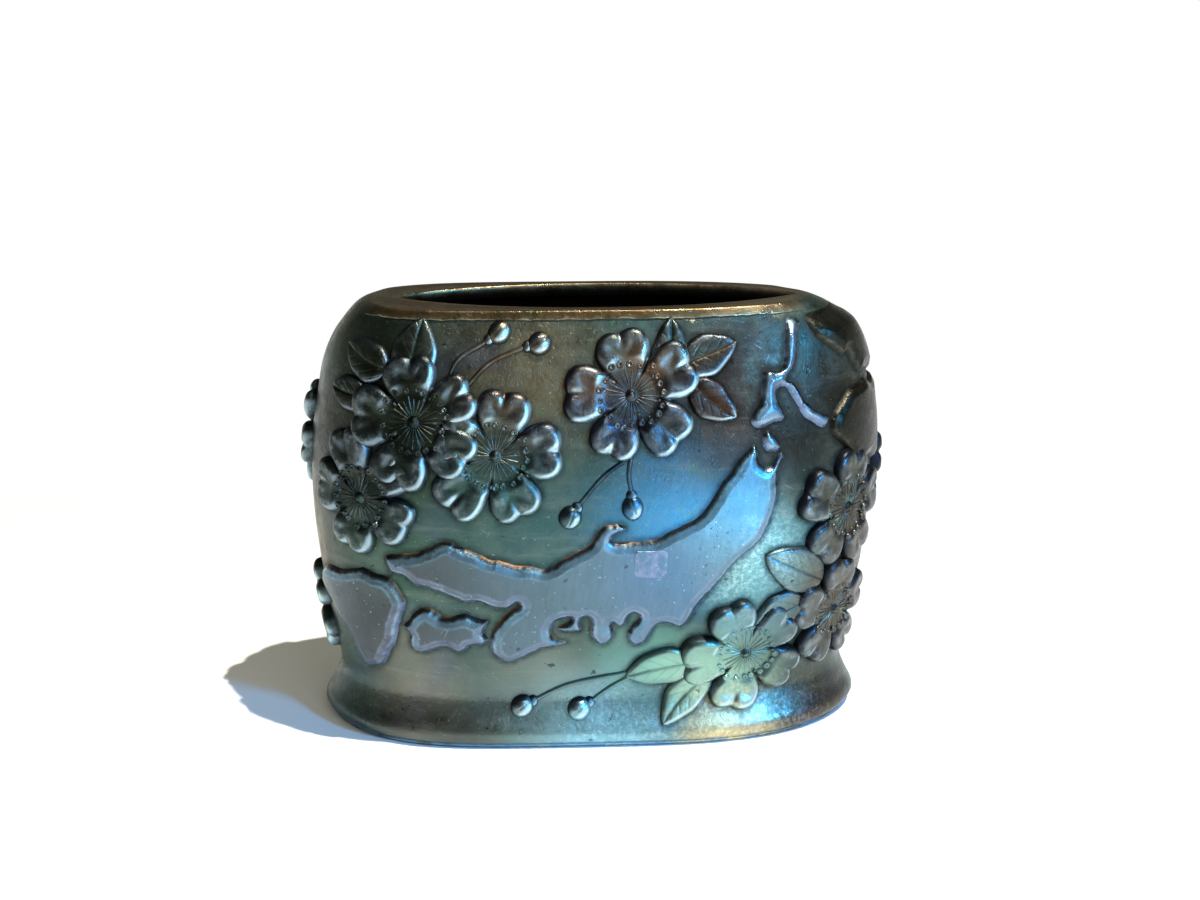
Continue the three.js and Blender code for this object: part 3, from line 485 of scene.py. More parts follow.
# Blossoms

HALF_PETAL = 36.0
PETAL_ANGLES = np.array([0, 3, 7, 12, 18, 24, 29, 32.5, 34.8, HALF_PETAL])
PETAL_REACH = np.array([1.0, 1.02, 1.045, 1.06, 1.045, 0.985, 0.885, 0.785, 0.69, 0.60])
PETAL_COLUMNS = 52
STAMENS = 24
BUTTONS_ON_PETAL = 4


def petal_offsets():
    """Angles off a petal's axis for the mesh's columns, closer together at the notch and beside the gaps."""
    fine = np.linspace(-HALF_PETAL, HALF_PETAL, 721)
    density = 1 + 2.6 * bump_at(np.abs(fine), HALF_PETAL, 5) + 0.8 * bump_at(fine, 0, 4)
    total = np.concatenate([[0], np.cumsum((density[1:] + density[:-1]) / 2)])
    return np.interp(np.arange(PETAL_COLUMNS) / PETAL_COLUMNS * total[-1], total, fine)


class Blossom:
    """One blossom's height above the wall at any place: dished petals with rolled rims."""

    def __init__(self, spec, seed):
        self.face, self.run, self.height, self.lift, self.cup, petals = spec
        self.draws = np.random.RandomState(seed)
        self.axis = np.array([direction for direction, _ in petals], float)
        self.size = np.array([reach for _, reach in petals], float)
        self.radius = self.size.mean()
        self.count = len(petals)
        self.crest = self.draws.uniform(*PETAL_CRESTS, self.count)
        self.tilt = self.draws.uniform(-PETAL_TILT, PETAL_TILT, self.count)
        ahead = (np.roll(self.axis, -1) - self.axis) % 360
        self.half_ahead, self.half_behind = ahead / 2, np.roll(ahead, 1) / 2
        offsets = petal_offsets()
        self.around = np.concatenate([self.direction(i, offsets) for i in range(self.count)])
        reach = self.reach(self.around)
        self.outline = np.stack([reach * np.cos(self.around), reach * np.sin(self.around)], 1)

    def direction(self, petal, off):
        """Angle at an offset from a petal's axis, where the gaps beside it are 36 off."""
        half = np.where(np.asarray(off) < 0, self.half_behind[petal], self.half_ahead[petal])
        return np.radians(self.axis[petal] + off / HALF_PETAL * half)

    def petal(self, theta):
        """Which petal an angle is on, and its offset from the petal's axis."""
        turned = np.mod(np.degrees(theta) - self.axis[0] + self.half_behind[0] + 1e-7, 360)
        starts = np.concatenate([[0], np.cumsum(self.half_behind + self.half_ahead)[:-1]])
        index = np.searchsorted(starts, turned, side="right") - 1
        off = turned - starts[index] - self.half_behind[index]
        half = np.where(off < 0, self.half_behind[index], self.half_ahead[index])
        return index, np.clip(off / half * HALF_PETAL, -HALF_PETAL, HALF_PETAL)

    def reach(self, theta):
        index, off = self.petal(theta)
        beside = np.where(off < 0, (index - 1) % self.count, (index + 1) % self.count)
        share = 0.5 * smoothstep(24, HALF_PETAL, np.abs(off))
        size = self.size[index] * (1 - share) + self.size[beside] * share
        return size * smooth_curve(PETAL_ANGLES, PETAL_REACH, np.abs(off))

    def places(self, theta, r, relief):
        return on_wall(self.face, self.run + r * np.cos(theta), self.height + r * np.sin(theta), relief)

    def depth(self, theta, r):
        return signed_distance(r * np.cos(theta), r * np.sin(theta), self.outline)

    def roll(self, r, depth):
        """1 on the crest of a petal's rolled rim, 0 in its cup."""
        return smoothstep(ROLL_END, ROLL_AT, depth) * smoothstep(*ROLL_SPAN, r / self.radius)

    def from_gap(self, theta, r):
        """Distance from the gap beside a petal."""
        return r * np.sin(np.radians(HALF_PETAL - np.abs(self.petal(theta)[1])))

    def relief(self, theta, r, depth):
        index, off = self.petal(theta)
        share = r / self.radius
        lateral = r * np.sin(np.radians(np.abs(off)))
        gap = self.from_gap(theta, r)
        outer = smoothstep(*CUP_SPAN, share)
        floor = self.crest[index] - self.cup + self.tilt[index] * off / HALF_PETAL
        height = MIDDLE_RELIEF + (floor - MIDDLE_RELIEF) * outer + self.cup * self.roll(r, depth)
        height -= NOTCH_DEPTH * bump_at(lateral, 0, NOTCH_WIDTH) * smoothstep(*NOTCH_SPAN, share)
        groove = GAP_DEPTH * bump_at(gap, 0, GAP_WIDTH) * smoothstep(*GAP_SPAN, share)
        height -= groove + VALLEY_DEPTH * bump_at(gap, 0, VALLEY_WIDTH) * outer
        height -= RING_DEPTH * bump_at(r, RING_RADIUS, RING_WIDTH)
        height += KNOB_HEIGHT * np.sqrt(np.clip(1 - (r / KNOB_RADIUS) ** 2, 0, 1))
        height = EDGE_HEIGHT + (height - EDGE_HEIGHT) * rounded(depth / SIDE_WIDTH)
        return height + self.lift * smoothstep(0, 0.5, depth)


def blossom_piece(name, spec, material, seed):
    form = Blossom(spec, seed)
    pile = Pile()
    theta = form.around
    shares = np.concatenate([np.linspace(*span) for span in RING_SHARES])
    around, out = np.meshgrid(theta, shares)
    middle = smoothstep(0.3, 0, out)
    r = out * form.reach(around) * (1 - middle) + out * form.radius * 0.8 * middle
    depth = form.depth(around, r)
    depth[-1] = 0
    relief = form.relief(around, r, np.maximum(depth, 0))
    around, r = np.vstack([around, theta[None]]), np.vstack([r, r[-1:] + SKIRT])
    depth = np.vstack([depth, np.zeros((1, len(theta)))])
    relief = np.vstack([relief, np.full((1, len(theta)), -SUNK)])
    share = r / form.radius
    wear = bump_at(depth, ROLL_AT, 1.3) * smoothstep(0.5, 0.7, share)
    grime = bump_at(form.from_gap(around, r), 0, 0.6) * smoothstep(0.3, 0.5, share) + bump_at(depth, 0, 0.45)
    grime += 0.4 * smoothstep(0.3, 0.12, share)
    facing = facing_mark(r * np.cos(around), r * np.sin(around), relief, closed=True)
    pile.add(form.places(around, r, relief), closed=True, flip=True, wear=wear, grime=np.clip(grime, 0, 1),
             crest=form.roll(r, depth), facing=facing)
    add_stamens(pile, form)
    pile.make(name, material)


# First and last share of the radius and count of a blossom's rings of vertices, and how far its skirt spreads
RING_SHARES = ((0.001, 0.12, 6), (0.16, 0.78, 22), (0.8, 1.0, 16))
SKIRT = 0.12
# Distance across a stamen's thread and height, and the rings of heads and dots: share of the radius, height
THREAD_SHAPE = ((-0.3, -0.15), (-0.12, 0.3), (0.12, 0.3), (0.3, -0.15))
BUTTON_SHAPE = ((0.02, 0.12), (0.25, 0.16), (0.5, 0.42), (0.72, 0.5), (0.9, 0.34), (1.08, -0.2))
DOT_SHAPE = ((0.05, 0.45), (0.5, 0.38), (0.85, 0.2), (1.05, -0.2))
DOT_SIZE = 0.5
DOT_PLACES = (-31, -9, 11, 30)
BUTTON_SPACING = 17
BUTTON_POINTS = 12
# The stamens' value of the mark from which light and shade are painted
STAMEN_SLOPE_LIGHT_SHADE = 0.55


def add_stamens(pile, form):
    """Fine radial threads round the middle, with ring-shaped heads and small dots beyond them."""
    draws = form.draws
    for i in range(STAMENS):
        theta = (i + draws.uniform(-0.2, 0.2)) / STAMENS * 2 * np.pi
        r = np.linspace(2.0, form.radius * draws.uniform(0.34, 0.42), 9)
        ridge = []
        top = form.relief(np.full_like(r, theta), r, np.full_like(r, ROLL_END))
        for across, lift in THREAD_SHAPE:
            ridge.append(form.places(theta + across / np.maximum(r, 1), r, top + lift))
        pile.add(np.array(ridge), flip=True, wear=0.5, grime=0.1, facing=STAMEN_SLOPE_LIGHT_SHADE)
    for petal in range(form.count):
        for k in range(BUTTONS_ON_PETAL):
            theta = float(form.direction(petal, (k - 1.5) * BUTTON_SPACING + draws.uniform(-4, 4)))
            reach = form.radius * draws.uniform(0.44, 0.53)
            add_button(pile, form, theta, reach, draws.uniform(0.9, 1.2), BUTTON_SHAPE)
        for off in DOT_PLACES:
            theta = float(form.direction(petal, off + draws.uniform(-3, 3)))
            reach = form.radius * draws.uniform(0.42, 0.5)
            add_button(pile, form, theta, reach, DOT_SIZE, DOT_SHAPE)


def add_button(pile, form, theta, r, size, shape):
    around = turns(BUTTON_POINTS)
    at, out = np.array([theta]), np.array([r])
    base = float(form.relief(at, out, np.maximum(form.depth(at, out), SIDE_WIDTH))[0])
    x, y = form.run + r * math.cos(theta), form.height + r * math.sin(theta)
    rows = [on_wall(form.face, x + size * share * np.cos(around), y + size * share * np.sin(around),
                    np.full(BUTTON_POINTS, base + lift)) for share, lift in shape]
    faces = grid_faces(len(shape), BUTTON_POINTS, closed=True, flip=True) + [tuple(range(BUTTON_POINTS))]
    pile.add(np.array(rows), faces, wear=0.6, grime=0.1, facing=STAMEN_SLOPE_LIGHT_SHADE)


# Leaves

LEAF_ROWS = 84
LEAF_COLUMNS = 45
LEAF_SIDE = 1.8
LEAF_EDGE = 0.1
LEAF_CREST_AT = 1.6
LEAF_BEND = 0.9
MARGIN_WAVE = 0.16
MIDRIB_DEPTH, MIDRIB_WIDTH = 0.25, 0.4
VEIN_PAIRS = 3
VEIN_DEPTH, VEIN_WIDTH = 0.2, 0.22
# How far veins run ahead per millimetre out from the midrib, and how much more further out
VEIN_SLANT, VEIN_CURVE = 0.8, 0.09


def leaf_half_width(width, u, seed):
    """Half the leaf's width along it, u from -1 at the base to 1 at the tip, with a wavy margin."""
    broadest = (LEAF_BASE_POWER - LEAF_TIP_POWER) / (LEAF_BASE_POWER + LEAF_TIP_POWER)
    fullness = ((1 + u) / (1 + broadest)) ** LEAF_BASE_POWER * ((1 - u) / (1 - broadest)) ** LEAF_TIP_POWER
    phase = np.random.RandomState(seed).uniform(0, 6, 2)
    wave = MARGIN_WAVE * np.sin(7 * u + phase[0]) * np.sqrt(np.clip(1 - u * u, 0, 1))
    return width / 2 * fullness + wave + 0.04


def leaf_places(spec, u, v, seed):
    """Run and height on the wall of places on a leaf, u along it and v across it from -1 to 1."""
    face, tip_run, tip_height, base_run, base_height, width = spec
    length = math.hypot(tip_run - base_run, tip_height - base_height)
    angle = math.atan2(tip_height - base_height, tip_run - base_run)
    bend = np.random.RandomState(seed + 1).uniform(-LEAF_BEND, LEAF_BEND)
    half = leaf_half_width(width, u, seed)
    along = u * length / 2
    across = v * half + bend * (1 - u * u)
    x, y = turned((tip_run + base_run) / 2, (tip_height + base_height) / 2, along, across, angle)
    return x, y, along, half, length


def leaf_piece(name, spec, material, seed):
    ends = np.sin(np.linspace(-np.pi / 2, np.pi / 2, LEAF_ROWS))
    u, v = np.meshgrid(ends, np.linspace(-1, 1, LEAF_COLUMNS), indexing="ij")
    x, y, along, half, length = leaf_places(spec, u, v, seed)
    inside = (1 - np.abs(v)) * half
    out = np.abs(v) * half

    def with_sides(relief):
        return LEAF_EDGE + (relief - LEAF_EDGE) * rounded(inside / LEAF_SIDE)

    relief = 1.55 + 0.6 * np.sin(np.pi * (np.abs(v) * 0.8 + 0.16)) * smoothstep(1.0, 0.6, np.abs(u))
    facing = facing_mark(x, y, with_sides(relief))
    relief -= MIDRIB_DEPTH * bump_at(out, 0, MIDRIB_WIDTH) * smoothstep(1, 0.9, u)
    spacing = length / (VEIN_PAIRS + 1.5)
    phase = np.mod(along - VEIN_SLANT * out - VEIN_CURVE * out ** 2, spacing) - spacing / 2
    veins = bump_at(phase, 0, VEIN_WIDTH) * smoothstep(0.2, 0.7, out) * smoothstep(1.0, 2.4, inside)
    relief = with_sides(relief - VEIN_DEPTH * veins)
    relief[np.abs(v) > 0.999] = -SUNK
    relief[[0, -1], :] = -SUNK
    grime = np.clip(0.45 * veins + 0.7 * bump_at(out, 0, 0.3) + bump_at(inside, 0, 0.3), 0, 1)
    pile = Pile()
    pile.add(on_wall(spec[0], x, y, relief), wear=0.6 * bump_at(inside, LEAF_CREST_AT, 0.8), grime=grime,
             crest=bump_at(inside, LEAF_CREST_AT, 1.2), facing=facing)
    pile.make(name, material)


# Buds

BALL_POINTS = 40
BALL_RINGS = 18
# Middle, half length and half width as shares of the bud's length and width, height, and whether creased
BUD_BALLS = ((0.1, 0.4, 0.54, 3.0, 1), (-0.29, 0.18, 0.28, 1.6, 0))
STEM_START = 0.4


def bud_piece(name, spec, material):
    """A bud with its cup, which are two flattened balls, on a stem."""
    face, run, height, length, width, turn, stem = spec
    angle = math.radians(turn)
    pile = Pile()
    around, share = np.meshgrid(turns(BALL_POINTS), np.linspace(0.001, 1, BALL_RINGS))
    for middle, half_length, half_width, tall, crease in BUD_BALLS:
        along = length * middle + length * half_length * share * np.cos(around)
        across = width * half_width * share * np.sin(around)
        relief = tall * np.sqrt(np.clip(1 - share ** 2, 0, 1)) - SUNK * smoothstep(0.95, 1, share)
        relief -= crease * 0.1 * bump_at(across - 0.25 * along, 0, 0.4) * smoothstep(1, 0.6, share)
        x, y = turned(run, height, along, across, angle)
        pile.add(on_wall(face, x, y, relief), closed=True, flip=True, wear=0.4 * smoothstep(0.9, 0.2, share),
                 grime=bump_at(share, 1, 0.12) + 0.5 * (1 - crease), crest=smoothstep(0.95, 0.6, share),
                 facing=facing_mark(x, y, relief, closed=True))
    start = length * STEM_START
    add_stem(pile, face, [(run - math.cos(angle) * start, height - math.sin(angle) * start)] + stem)
    pile.make(name, material)


def curve_through(points, count):
    """Points on a smooth curve through points."""
    points = [np.array(p, float) for p in points]
    points = [2 * points[0] - points[1]] + points + [2 * points[-1] - points[-2]]
    result = []
    spans = len(points) - 3
    for t in np.linspace(0, spans - 1e-6, count):
        i = int(t)
        u = t - i
        a, b, c, d = points[i:i + 4]
        result.append(0.5 * (2 * b + (c - a) * u + (2 * a - 5 * b + 4 * c - d) * u ** 2
                             + (3 * b - a - 3 * c + d) * u ** 3))
    return np.array(result)


# Distance across a stem, height above the wall, wear and grime
STEM_SHAPE = ((-0.95, -SUNK, 0.0, 1.0), (-0.68, 0.35, 0.1, 0.6), (-0.35, 0.75, 0.3, 0.2), (0, 0.9, 0.4, 0.1),
              (0.35, 0.75, 0.3, 0.2), (0.68, 0.35, 0.1, 0.6), (0.95, -SUNK, 0.0, 1.0))
STEM_POINTS = 30


def add_stem(pile, face, points):
    path = curve_through(points, STEM_POINTS)
    heading = np.gradient(path, axis=0)
    heading /= np.linalg.norm(heading, axis=1, keepdims=True)
    side = np.stack([-heading[:, 1], heading[:, 0]], 1)
    off, lift, wear, grime = (np.tile(column, (STEM_POINTS, 1)).T for column in zip(*STEM_SHAPE))
    places = on_wall(face, path[:, 0] + side[:, 0] * off, path[:, 1] + side[:, 1] * off, lift)
    pile.add(places, flip=True, wear=wear, grime=grime, facing=0.5)


# Branch

CELL = 0.42
SHOULDER_FADE = (142.0, 134.0)
WOBBLE = 0.1
DIPS, DIP_SIZE = 0.1, 6.0


def soften(outline, rounds=2, share=0.2):
    """Cuts the corners of a closed outline a little, as worn cast edges are."""
    points = np.array(outline, float)
    for _ in range(rounds):
        ahead = np.roll(points, -1, axis=0)
        points = np.stack([points * (1 - share) + ahead * share, points * share + ahead * (1 - share)], 1)
        points = points.reshape(-1, 2)
    return points


def branch_profile(depth):
    """Height above the wall at a distance in from the outline: a sloping side, a bevel and a flat top."""
    side = BRANCH_SHOULDER * np.clip(depth / BRANCH_SIDE, 0, 1) ** 0.8
    across = np.clip((depth - BRANCH_SIDE) / (BRANCH_EDGE - BRANCH_SIDE), 0, 1)
    bevel = (BRANCH_TOP - BRANCH_SHOULDER) * across
    return np.where(depth <= 0, np.where(depth < -0.02, -SUNK, 0.0), side + bevel)


def branch_piece(name, face, outline, material, seed):
    edge = soften(outline)
    wobble = np.random.RandomState(seed).uniform(-1, 1, (len(edge), 2))
    edge = edge + WOBBLE * (wobble + np.roll(wobble, 1, axis=0))
    low, high = edge.min(0) - 1.5, edge.max(0) + 1.5
    x, y = np.meshgrid(np.arange(low[0], high[0], CELL), np.arange(low[1], high[1], CELL))
    depth = signed_distance(x, y, edge)
    slope_y, slope_x = np.gradient(depth, CELL)
    size = np.maximum(np.hypot(slope_x, slope_y), 0.3)
    upward = -slope_y / size
    for level in (0.0, BRANCH_SIDE, BRANCH_EDGE):
        near = np.abs(depth - level) < CELL * 0.5
        move = np.where(near, (level - depth) / size, 0)
        x, y = x + move * slope_x / size, y + move * slope_y / size
        depth = np.where(near, level, depth)
    top = branch_profile(depth)
    dips = lattice_noise(np.stack([x, y, 0 * x], -1).reshape(-1, 3), DIP_SIZE, seed).reshape(x.shape)
    top = top + DIPS * dips * smoothstep(BRANCH_SIDE, BRANCH_EDGE, depth)
    top = np.where(top > 0, top * smoothstep(*SHOULDER_FADE, y), top)
    used = depth > -CELL * 1.6
    keep = used[:-1, :-1] & used[1:, :-1] & used[:-1, 1:] & used[1:, 1:]
    index = np.arange(x.size).reshape(x.shape)
    corners = (index[:-1, :-1], index[:-1, 1:], index[1:, 1:], index[1:, :-1])
    faces = np.stack([corner[keep] for corner in corners], 1)
    numbers = np.unique(faces)
    renumber = np.zeros(x.size, int)
    renumber[numbers] = np.arange(len(numbers))
    x, y, top, depth, upward = (values.ravel()[numbers] for values in (x, y, top, depth, upward))
    side = smoothstep(BRANCH_SIDE * 1.05, BRANCH_SIDE * 0.85, depth)
    bevel = smoothstep(BRANCH_SIDE * 0.8, BRANCH_SIDE * 1.1, depth)
    bevel = bevel * smoothstep(BRANCH_EDGE * 1.2, BRANCH_EDGE, depth)
    wear = bump_at(depth, BRANCH_SIDE, 0.45) + 0.3 * bump_at(depth, BRANCH_EDGE, 0.4)
    pile = Pile()
    pile.add(on_wall(face, x, y, top), renumber[faces], wear=wear, grime=bump_at(depth, 0, 0.3), side=side,
             bevel=bevel, upward=0.5 + 0.5 * upward)
    pile.make(name, material)


# Wall

COLUMNS = 576
LIP_LEFT = (-77.0, -67.0)
LIP_RIGHT = (70.0, 60.0)
END_ROUNDING = 3.0
# Counts and sizes of the waves in the lip's lower edge, and the seed of their draws
LIP_WAVES = ((9, 0.10), (23, 0.08), (41, 0.07), (77, 0.06), (120, 0.05))
LIP_DRAWS = 11


def outline_points():
    """Places along the foot of all the relief, to darken the wall there."""
    places = []
    for index, spec in enumerate(BLOSSOMS):
        form = Blossom(spec, index)
        places.append(wall_points(form.face, form.run + form.outline[:, 0], form.height + form.outline[:, 1]))
    for index, spec in enumerate(LEAVES):
        for sign in (-1, 1):
            x, y, *_ = leaf_places(spec, np.linspace(-1, 1, 60), sign, LEAF_DRAWS + index)
            places.append(wall_points(spec[0], x, y))
    for _, face, outline in BRANCH_PIECES:
        edge = soften(outline)
        ahead = np.roll(edge, -1, axis=0)
        steps = np.array([a + (b - a) * t for a, b in zip(edge, ahead) for t in (0, 0.34, 0.67)])
        places.append(wall_points(face, steps[:, 0], steps[:, 1]))
    return np.concatenate(places)


def ring_row(height, inset=0.0, section_height=None, extra_depth=0.0):
    section = section_at(height if section_height is None else section_height)
    plan, _, _ = plan_ring(section, inset=inset, count=COLUMNS, extra_depth=extra_depth)
    return np.column_stack([plan, np.full(COLUMNS, height)])


def mouth_row(height, grow=0.0):
    half_width, half_depth, power, shift, forward = MOUTH
    wide, deep = half_width + grow, half_depth + grow
    section = (wide, wide, deep, deep, power, power, MOUTH_ROUNDING, shift)
    plan, _, _ = plan_ring(section, count=COLUMNS, back_rounding=MOUTH_ROUNDING)
    return np.column_stack([plan[:, 0], plan[:, 1] - forward, np.full(COLUMNS, height)])


def lip_edge():
    """How far the lip's lower edge strays from its line, in millimetres, round the girth."""
    draws = np.random.RandomState(LIP_DRAWS)
    return sum(size * np.sin(waves * turns(COLUMNS) + draws.uniform(0, 6)) for waves, size in LIP_WAVES)


def lip_share(row):
    """1 along the front and the back, where the rim has a stepped lip, 0 at the rounded ends."""
    return smoothstep(*LIP_LEFT, row[:, 0]) * smoothstep(*LIP_RIGHT, row[:, 0])


def rim_row(height, out, inset, stray=0.0):
    """A row of the rim, with a stepped lip along the front and the back and rounded over at the ends."""
    lip = ring_row(height, inset, extra_depth=out)
    lip[:, 2] += stray
    above = max(0.0, min(height, HEIGHT) - (HEIGHT - END_ROUNDING))
    end = ring_row(height, END_ROUNDING - math.sqrt(END_ROUNDING ** 2 - above ** 2))
    share = lip_share(lip)[:, None]
    return lip * share + end * (1 - share)


class Rows:
    """Rows of vertices round the casting, with marks for its material."""

    MARKS = ("wear", "grime", "lip", "inside", "outside")

    def __init__(self):
        self.rows = []
        self.marks = {mark: [] for mark in self.MARKS}

    def put(self, row, **marks):
        self.rows.append(row)
        for mark in self.MARKS:
            self.marks[mark].append(np.broadcast_to(marks.get(mark, 0.0), (COLUMNS,)))


# Rows of the foot outside: height, how far in, height of the plan that they follow, wear and grime
FOOT_ROWS = ((0.0, 0.35, 0.0, 0.3, 0.0), (0.12, 0.1, 0.0, 0.8, 0.0), (0.5, 0.0, 0.5, 0.5, 0.0),
             (1.2, 0.0, 1.2, 0.6, 0.0), (1.45, 0.25, 1.4, 0.2, 0.9), (1.8, 0.05, 1.8, 0.1, 0.3))
WALL_ROWS = 100
WALL_START = 2.6
# Heights above the lip's lower edge, how far the lip stands out there, and its wear and grime
LIP_STEPS = ((-0.35, 0.0, 0.0, 0.5), (-0.05, -0.1, 0.0, 1.0), (0.0, 0.45, 1.0, 0.2),
             (0.25, LIP_STEP, 1.0, 0.0), (0.55, LIP_STEP, 0.25, 0.0), (1.5, LIP_STEP, 0.05, 0.1),
             (2.2, LIP_STEP, 0.1, 0.0))
# Below the top, how far in, and wear, of the rim's outer rounding and then of the mouth's
RIM_ROWS = ((0.25, 0.05, 0.3), (0.04, 0.3, 0.35), (0.0, 0.7, 0.2))
RIM_DIP = 0.12
MOUTH_ROUND = 0.9
# Rows of the mouth: below the top, how far out, wear, grime and inside
MOUTH_ROWS = ((0.1, 0.35, 0.5, 0.0, 0.0), (0.4, 0.06, 0.4, 0.0, 0.0), (1.0, 0.0, 0.2, 0.2, 0.0),
              (MOUTH_DEPTH, 0.0, 0.0, 0.5, 0.7))
INSIDE_ROWS = 26
POCKET = PLATE_RECESS + PLATE_THICKNESS + GAP
LEDGE = POCKET + LEDGE_THICKNESS
# Rows of the ledge and under the foot: height, how far in, wear, grime and inside
BOTTOM_ROWS = ((LEDGE, FOOT_THICKNESS + LEDGE_WIDTH, 0.0, 0.9, 1.0),
               (POCKET, FOOT_THICKNESS + LEDGE_WIDTH, 0.0, 0.9, 1.0), (POCKET, FOOT_THICKNESS, 0.0, 1.0, 1.0),
               (0.6, FOOT_THICKNESS, 0.0, 0.5, 1.0), (0.0, FOOT_THICKNESS - 0.5, 0.5, 0.1, 0.0))


def wall_rows():
    """Rows of the casting: from the foot up outside, over the rim, down inside and back under the foot."""
    rows = Rows()
    for height, inset, plan_height, wear, grime in FOOT_ROWS:
        rows.put(ring_row(height, inset, plan_height), wear=wear, grime=grime)
    base = HEIGHT - LIP_HEIGHT
    for height in np.linspace(WALL_START, base - 0.8, WALL_ROWS):
        rows.put(ring_row(height), outside=1.0)
    stray = lip_edge()
    for above, out, wear, grime in LIP_STEPS:
        row = rim_row(base + above, out, 0.0, stray * max(0.0, min(1.0, 1.3 - above)))
        share = lip_share(row)
        rows.put(row, wear=wear * share + 0.15 * (1 - share), grime=grime * share,
                 lip=smoothstep(-0.1, 0.2, above) * share)
    for below, inset, wear in RIM_ROWS:
        outer = rim_row(HEIGHT - below, LIP_STEP, inset)
        share = lip_share(outer)
        rows.put(outer, wear=wear * share, lip=0.5 + 0.5 * share)
    inner = mouth_row(HEIGHT, MOUTH_ROUND)
    for t in np.linspace(0, 1, 9)[1:]:
        row = outer * (1 - t) + inner * t
        row[:, 2] -= RIM_DIP * math.sin(math.pi * t)
        rows.put(row, wear=0.25 * abs(2 * t - 1) ** 3, lip=0.5 + 0.5 * np.maximum(share, t))
    for below, grow, wear, grime, inside in MOUTH_ROWS:
        rows.put(mouth_row(HEIGHT - below, grow), wear=wear, grime=grime, lip=1.0, inside=inside)
    for t in (0.5, 1.0):
        height = HEIGHT - MOUTH_DEPTH - 2 * t
        rows.put(mouth_row(height) * (1 - t) + ring_row(height, WALL + 1) * t, grime=0.8, inside=1.0)
    for height in np.linspace(HEIGHT - MOUTH_DEPTH - 4, LEDGE + LEDGE_FADE, INSIDE_ROWS):
        rows.put(ring_row(height, WALL), grime=0.9, inside=1.0)
    for height, inset, wear, grime, inside in BOTTOM_ROWS:
        rows.put(ring_row(height, inset, 0.0), wear=wear, grime=grime, inside=inside)
    return rows


def scratch_depth(flat):
    """How near the wall's long scratch its points are, from 0 to 1 in its middle."""
    near = np.full(len(flat), 1e9)
    for place in curve_through(SCRATCH, 40):
        at = wall_points(FRONT, place[0], place[1])
        near = np.minimum(near, np.linalg.norm(flat - at, axis=1))
    return bump_at(near, 0, SCRATCH_WIDTH)


# Sizes of the wall's lumps, how high they are, and the seeds of their draws
SWELLS = ((24.0, 0.16, 3), (9.0, 0.07, 4))
# How dark the wall is at the foot of the relief, and how far out
RELIEF_GRIME = (0.85, 1.2)


def wall_piece(material):
    rows = wall_rows()
    places = np.array(rows.rows)
    marks = {mark: np.array(values).ravel() for mark, values in rows.marks.items()}
    outside = marks.pop("outside")
    flat = places.reshape(-1, 3)
    middle = places.copy()
    middle[..., :2] *= 0.2
    out = np.zeros_like(flat)
    out[:, :2] = (places - middle).reshape(-1, 3)[:, :2]
    out /= np.linalg.norm(out, axis=1, keepdims=True) + 1e-9
    swell = sum(amount * lattice_noise(flat, size, seed) for size, amount, seed in SWELLS)
    flat = flat + out * ((swell - SCRATCH_DEPTH * scratch_depth(flat)) * outside)[:, None]
    tree_points = outline_points()
    tree = KDTree(len(tree_points))
    for i, point in enumerate(tree_points):
        tree.insert(Vector(point), i)
    tree.balance()
    near = np.zeros(len(flat))
    for i in np.nonzero(outside)[0]:
        near[i] = tree.find(Vector(flat[i]))[2]
    share, width = RELIEF_GRIME
    marks["grime"] = np.clip(marks["grime"] + np.where(outside > 0, share * bump_at(near, 0, width), 0), 0, 1)
    make_piece("wall", flat, tube_faces(len(places), COLUMNS), material, marks)


# Bottom and plugs

PLATE_POINTS = 288
PLATE_SHARES = (*np.linspace(0.02, 0.97, 24), 0.992)
PLATE_LUMPS = 0.15
PLATE_CHAMFER = 0.3
PLATE_DRAWS = 31


def plate_piece(material):
    """A closed flat plate with the foot's plan, slightly uneven below as a hammered sheet is."""
    low, high, count = PLATE_RECESS, PLATE_RECESS + PLATE_THICKNESS, PLATE_POINTS
    edge, _, _ = plan_ring(section_at(0.0), inset=FOOT_THICKNESS + 0.02, count=count)

    def ring(share, level):
        return np.column_stack([edge * share, np.full(count, level)])

    rows = [ring(share, low) for share in PLATE_SHARES]
    for row, share in zip(rows, PLATE_SHARES):
        row[:, 2] += PLATE_LUMPS * lattice_noise(row, 12.0, PLATE_DRAWS) * smoothstep(1, 0.9, share)
    rows += [ring(1, low + PLATE_CHAMFER), ring(1, high - PLATE_CHAMFER)]
    rows += [ring(share, high) for share in PLATE_SHARES[::-1]]
    middle = edge[:, 0].mean()
    vertices = np.vstack([*rows, [[middle, 0, low]], [[middle, 0, high]]])
    faces = grid_faces(len(rows), count, closed=True, flip=True)
    last = (len(rows) - 1) * count
    for c in range(count):
        n = (c + 1) % count
        faces += [(len(vertices) - 2, n, c), (len(vertices) - 1, last + c, last + n)]
    grime = 0.4 + 0.4 * lattice_noise(vertices, 15.0, PLATE_DRAWS + 1)
    make_piece("base_plate", vertices, faces, material, {"grime": grime}, "base_plate")


SEAM_STEPS = 6
SEAM_LUMPS, SEAM_LUMP_SIZE, SEAM_DRAWS = 0.16, 3.0, 21


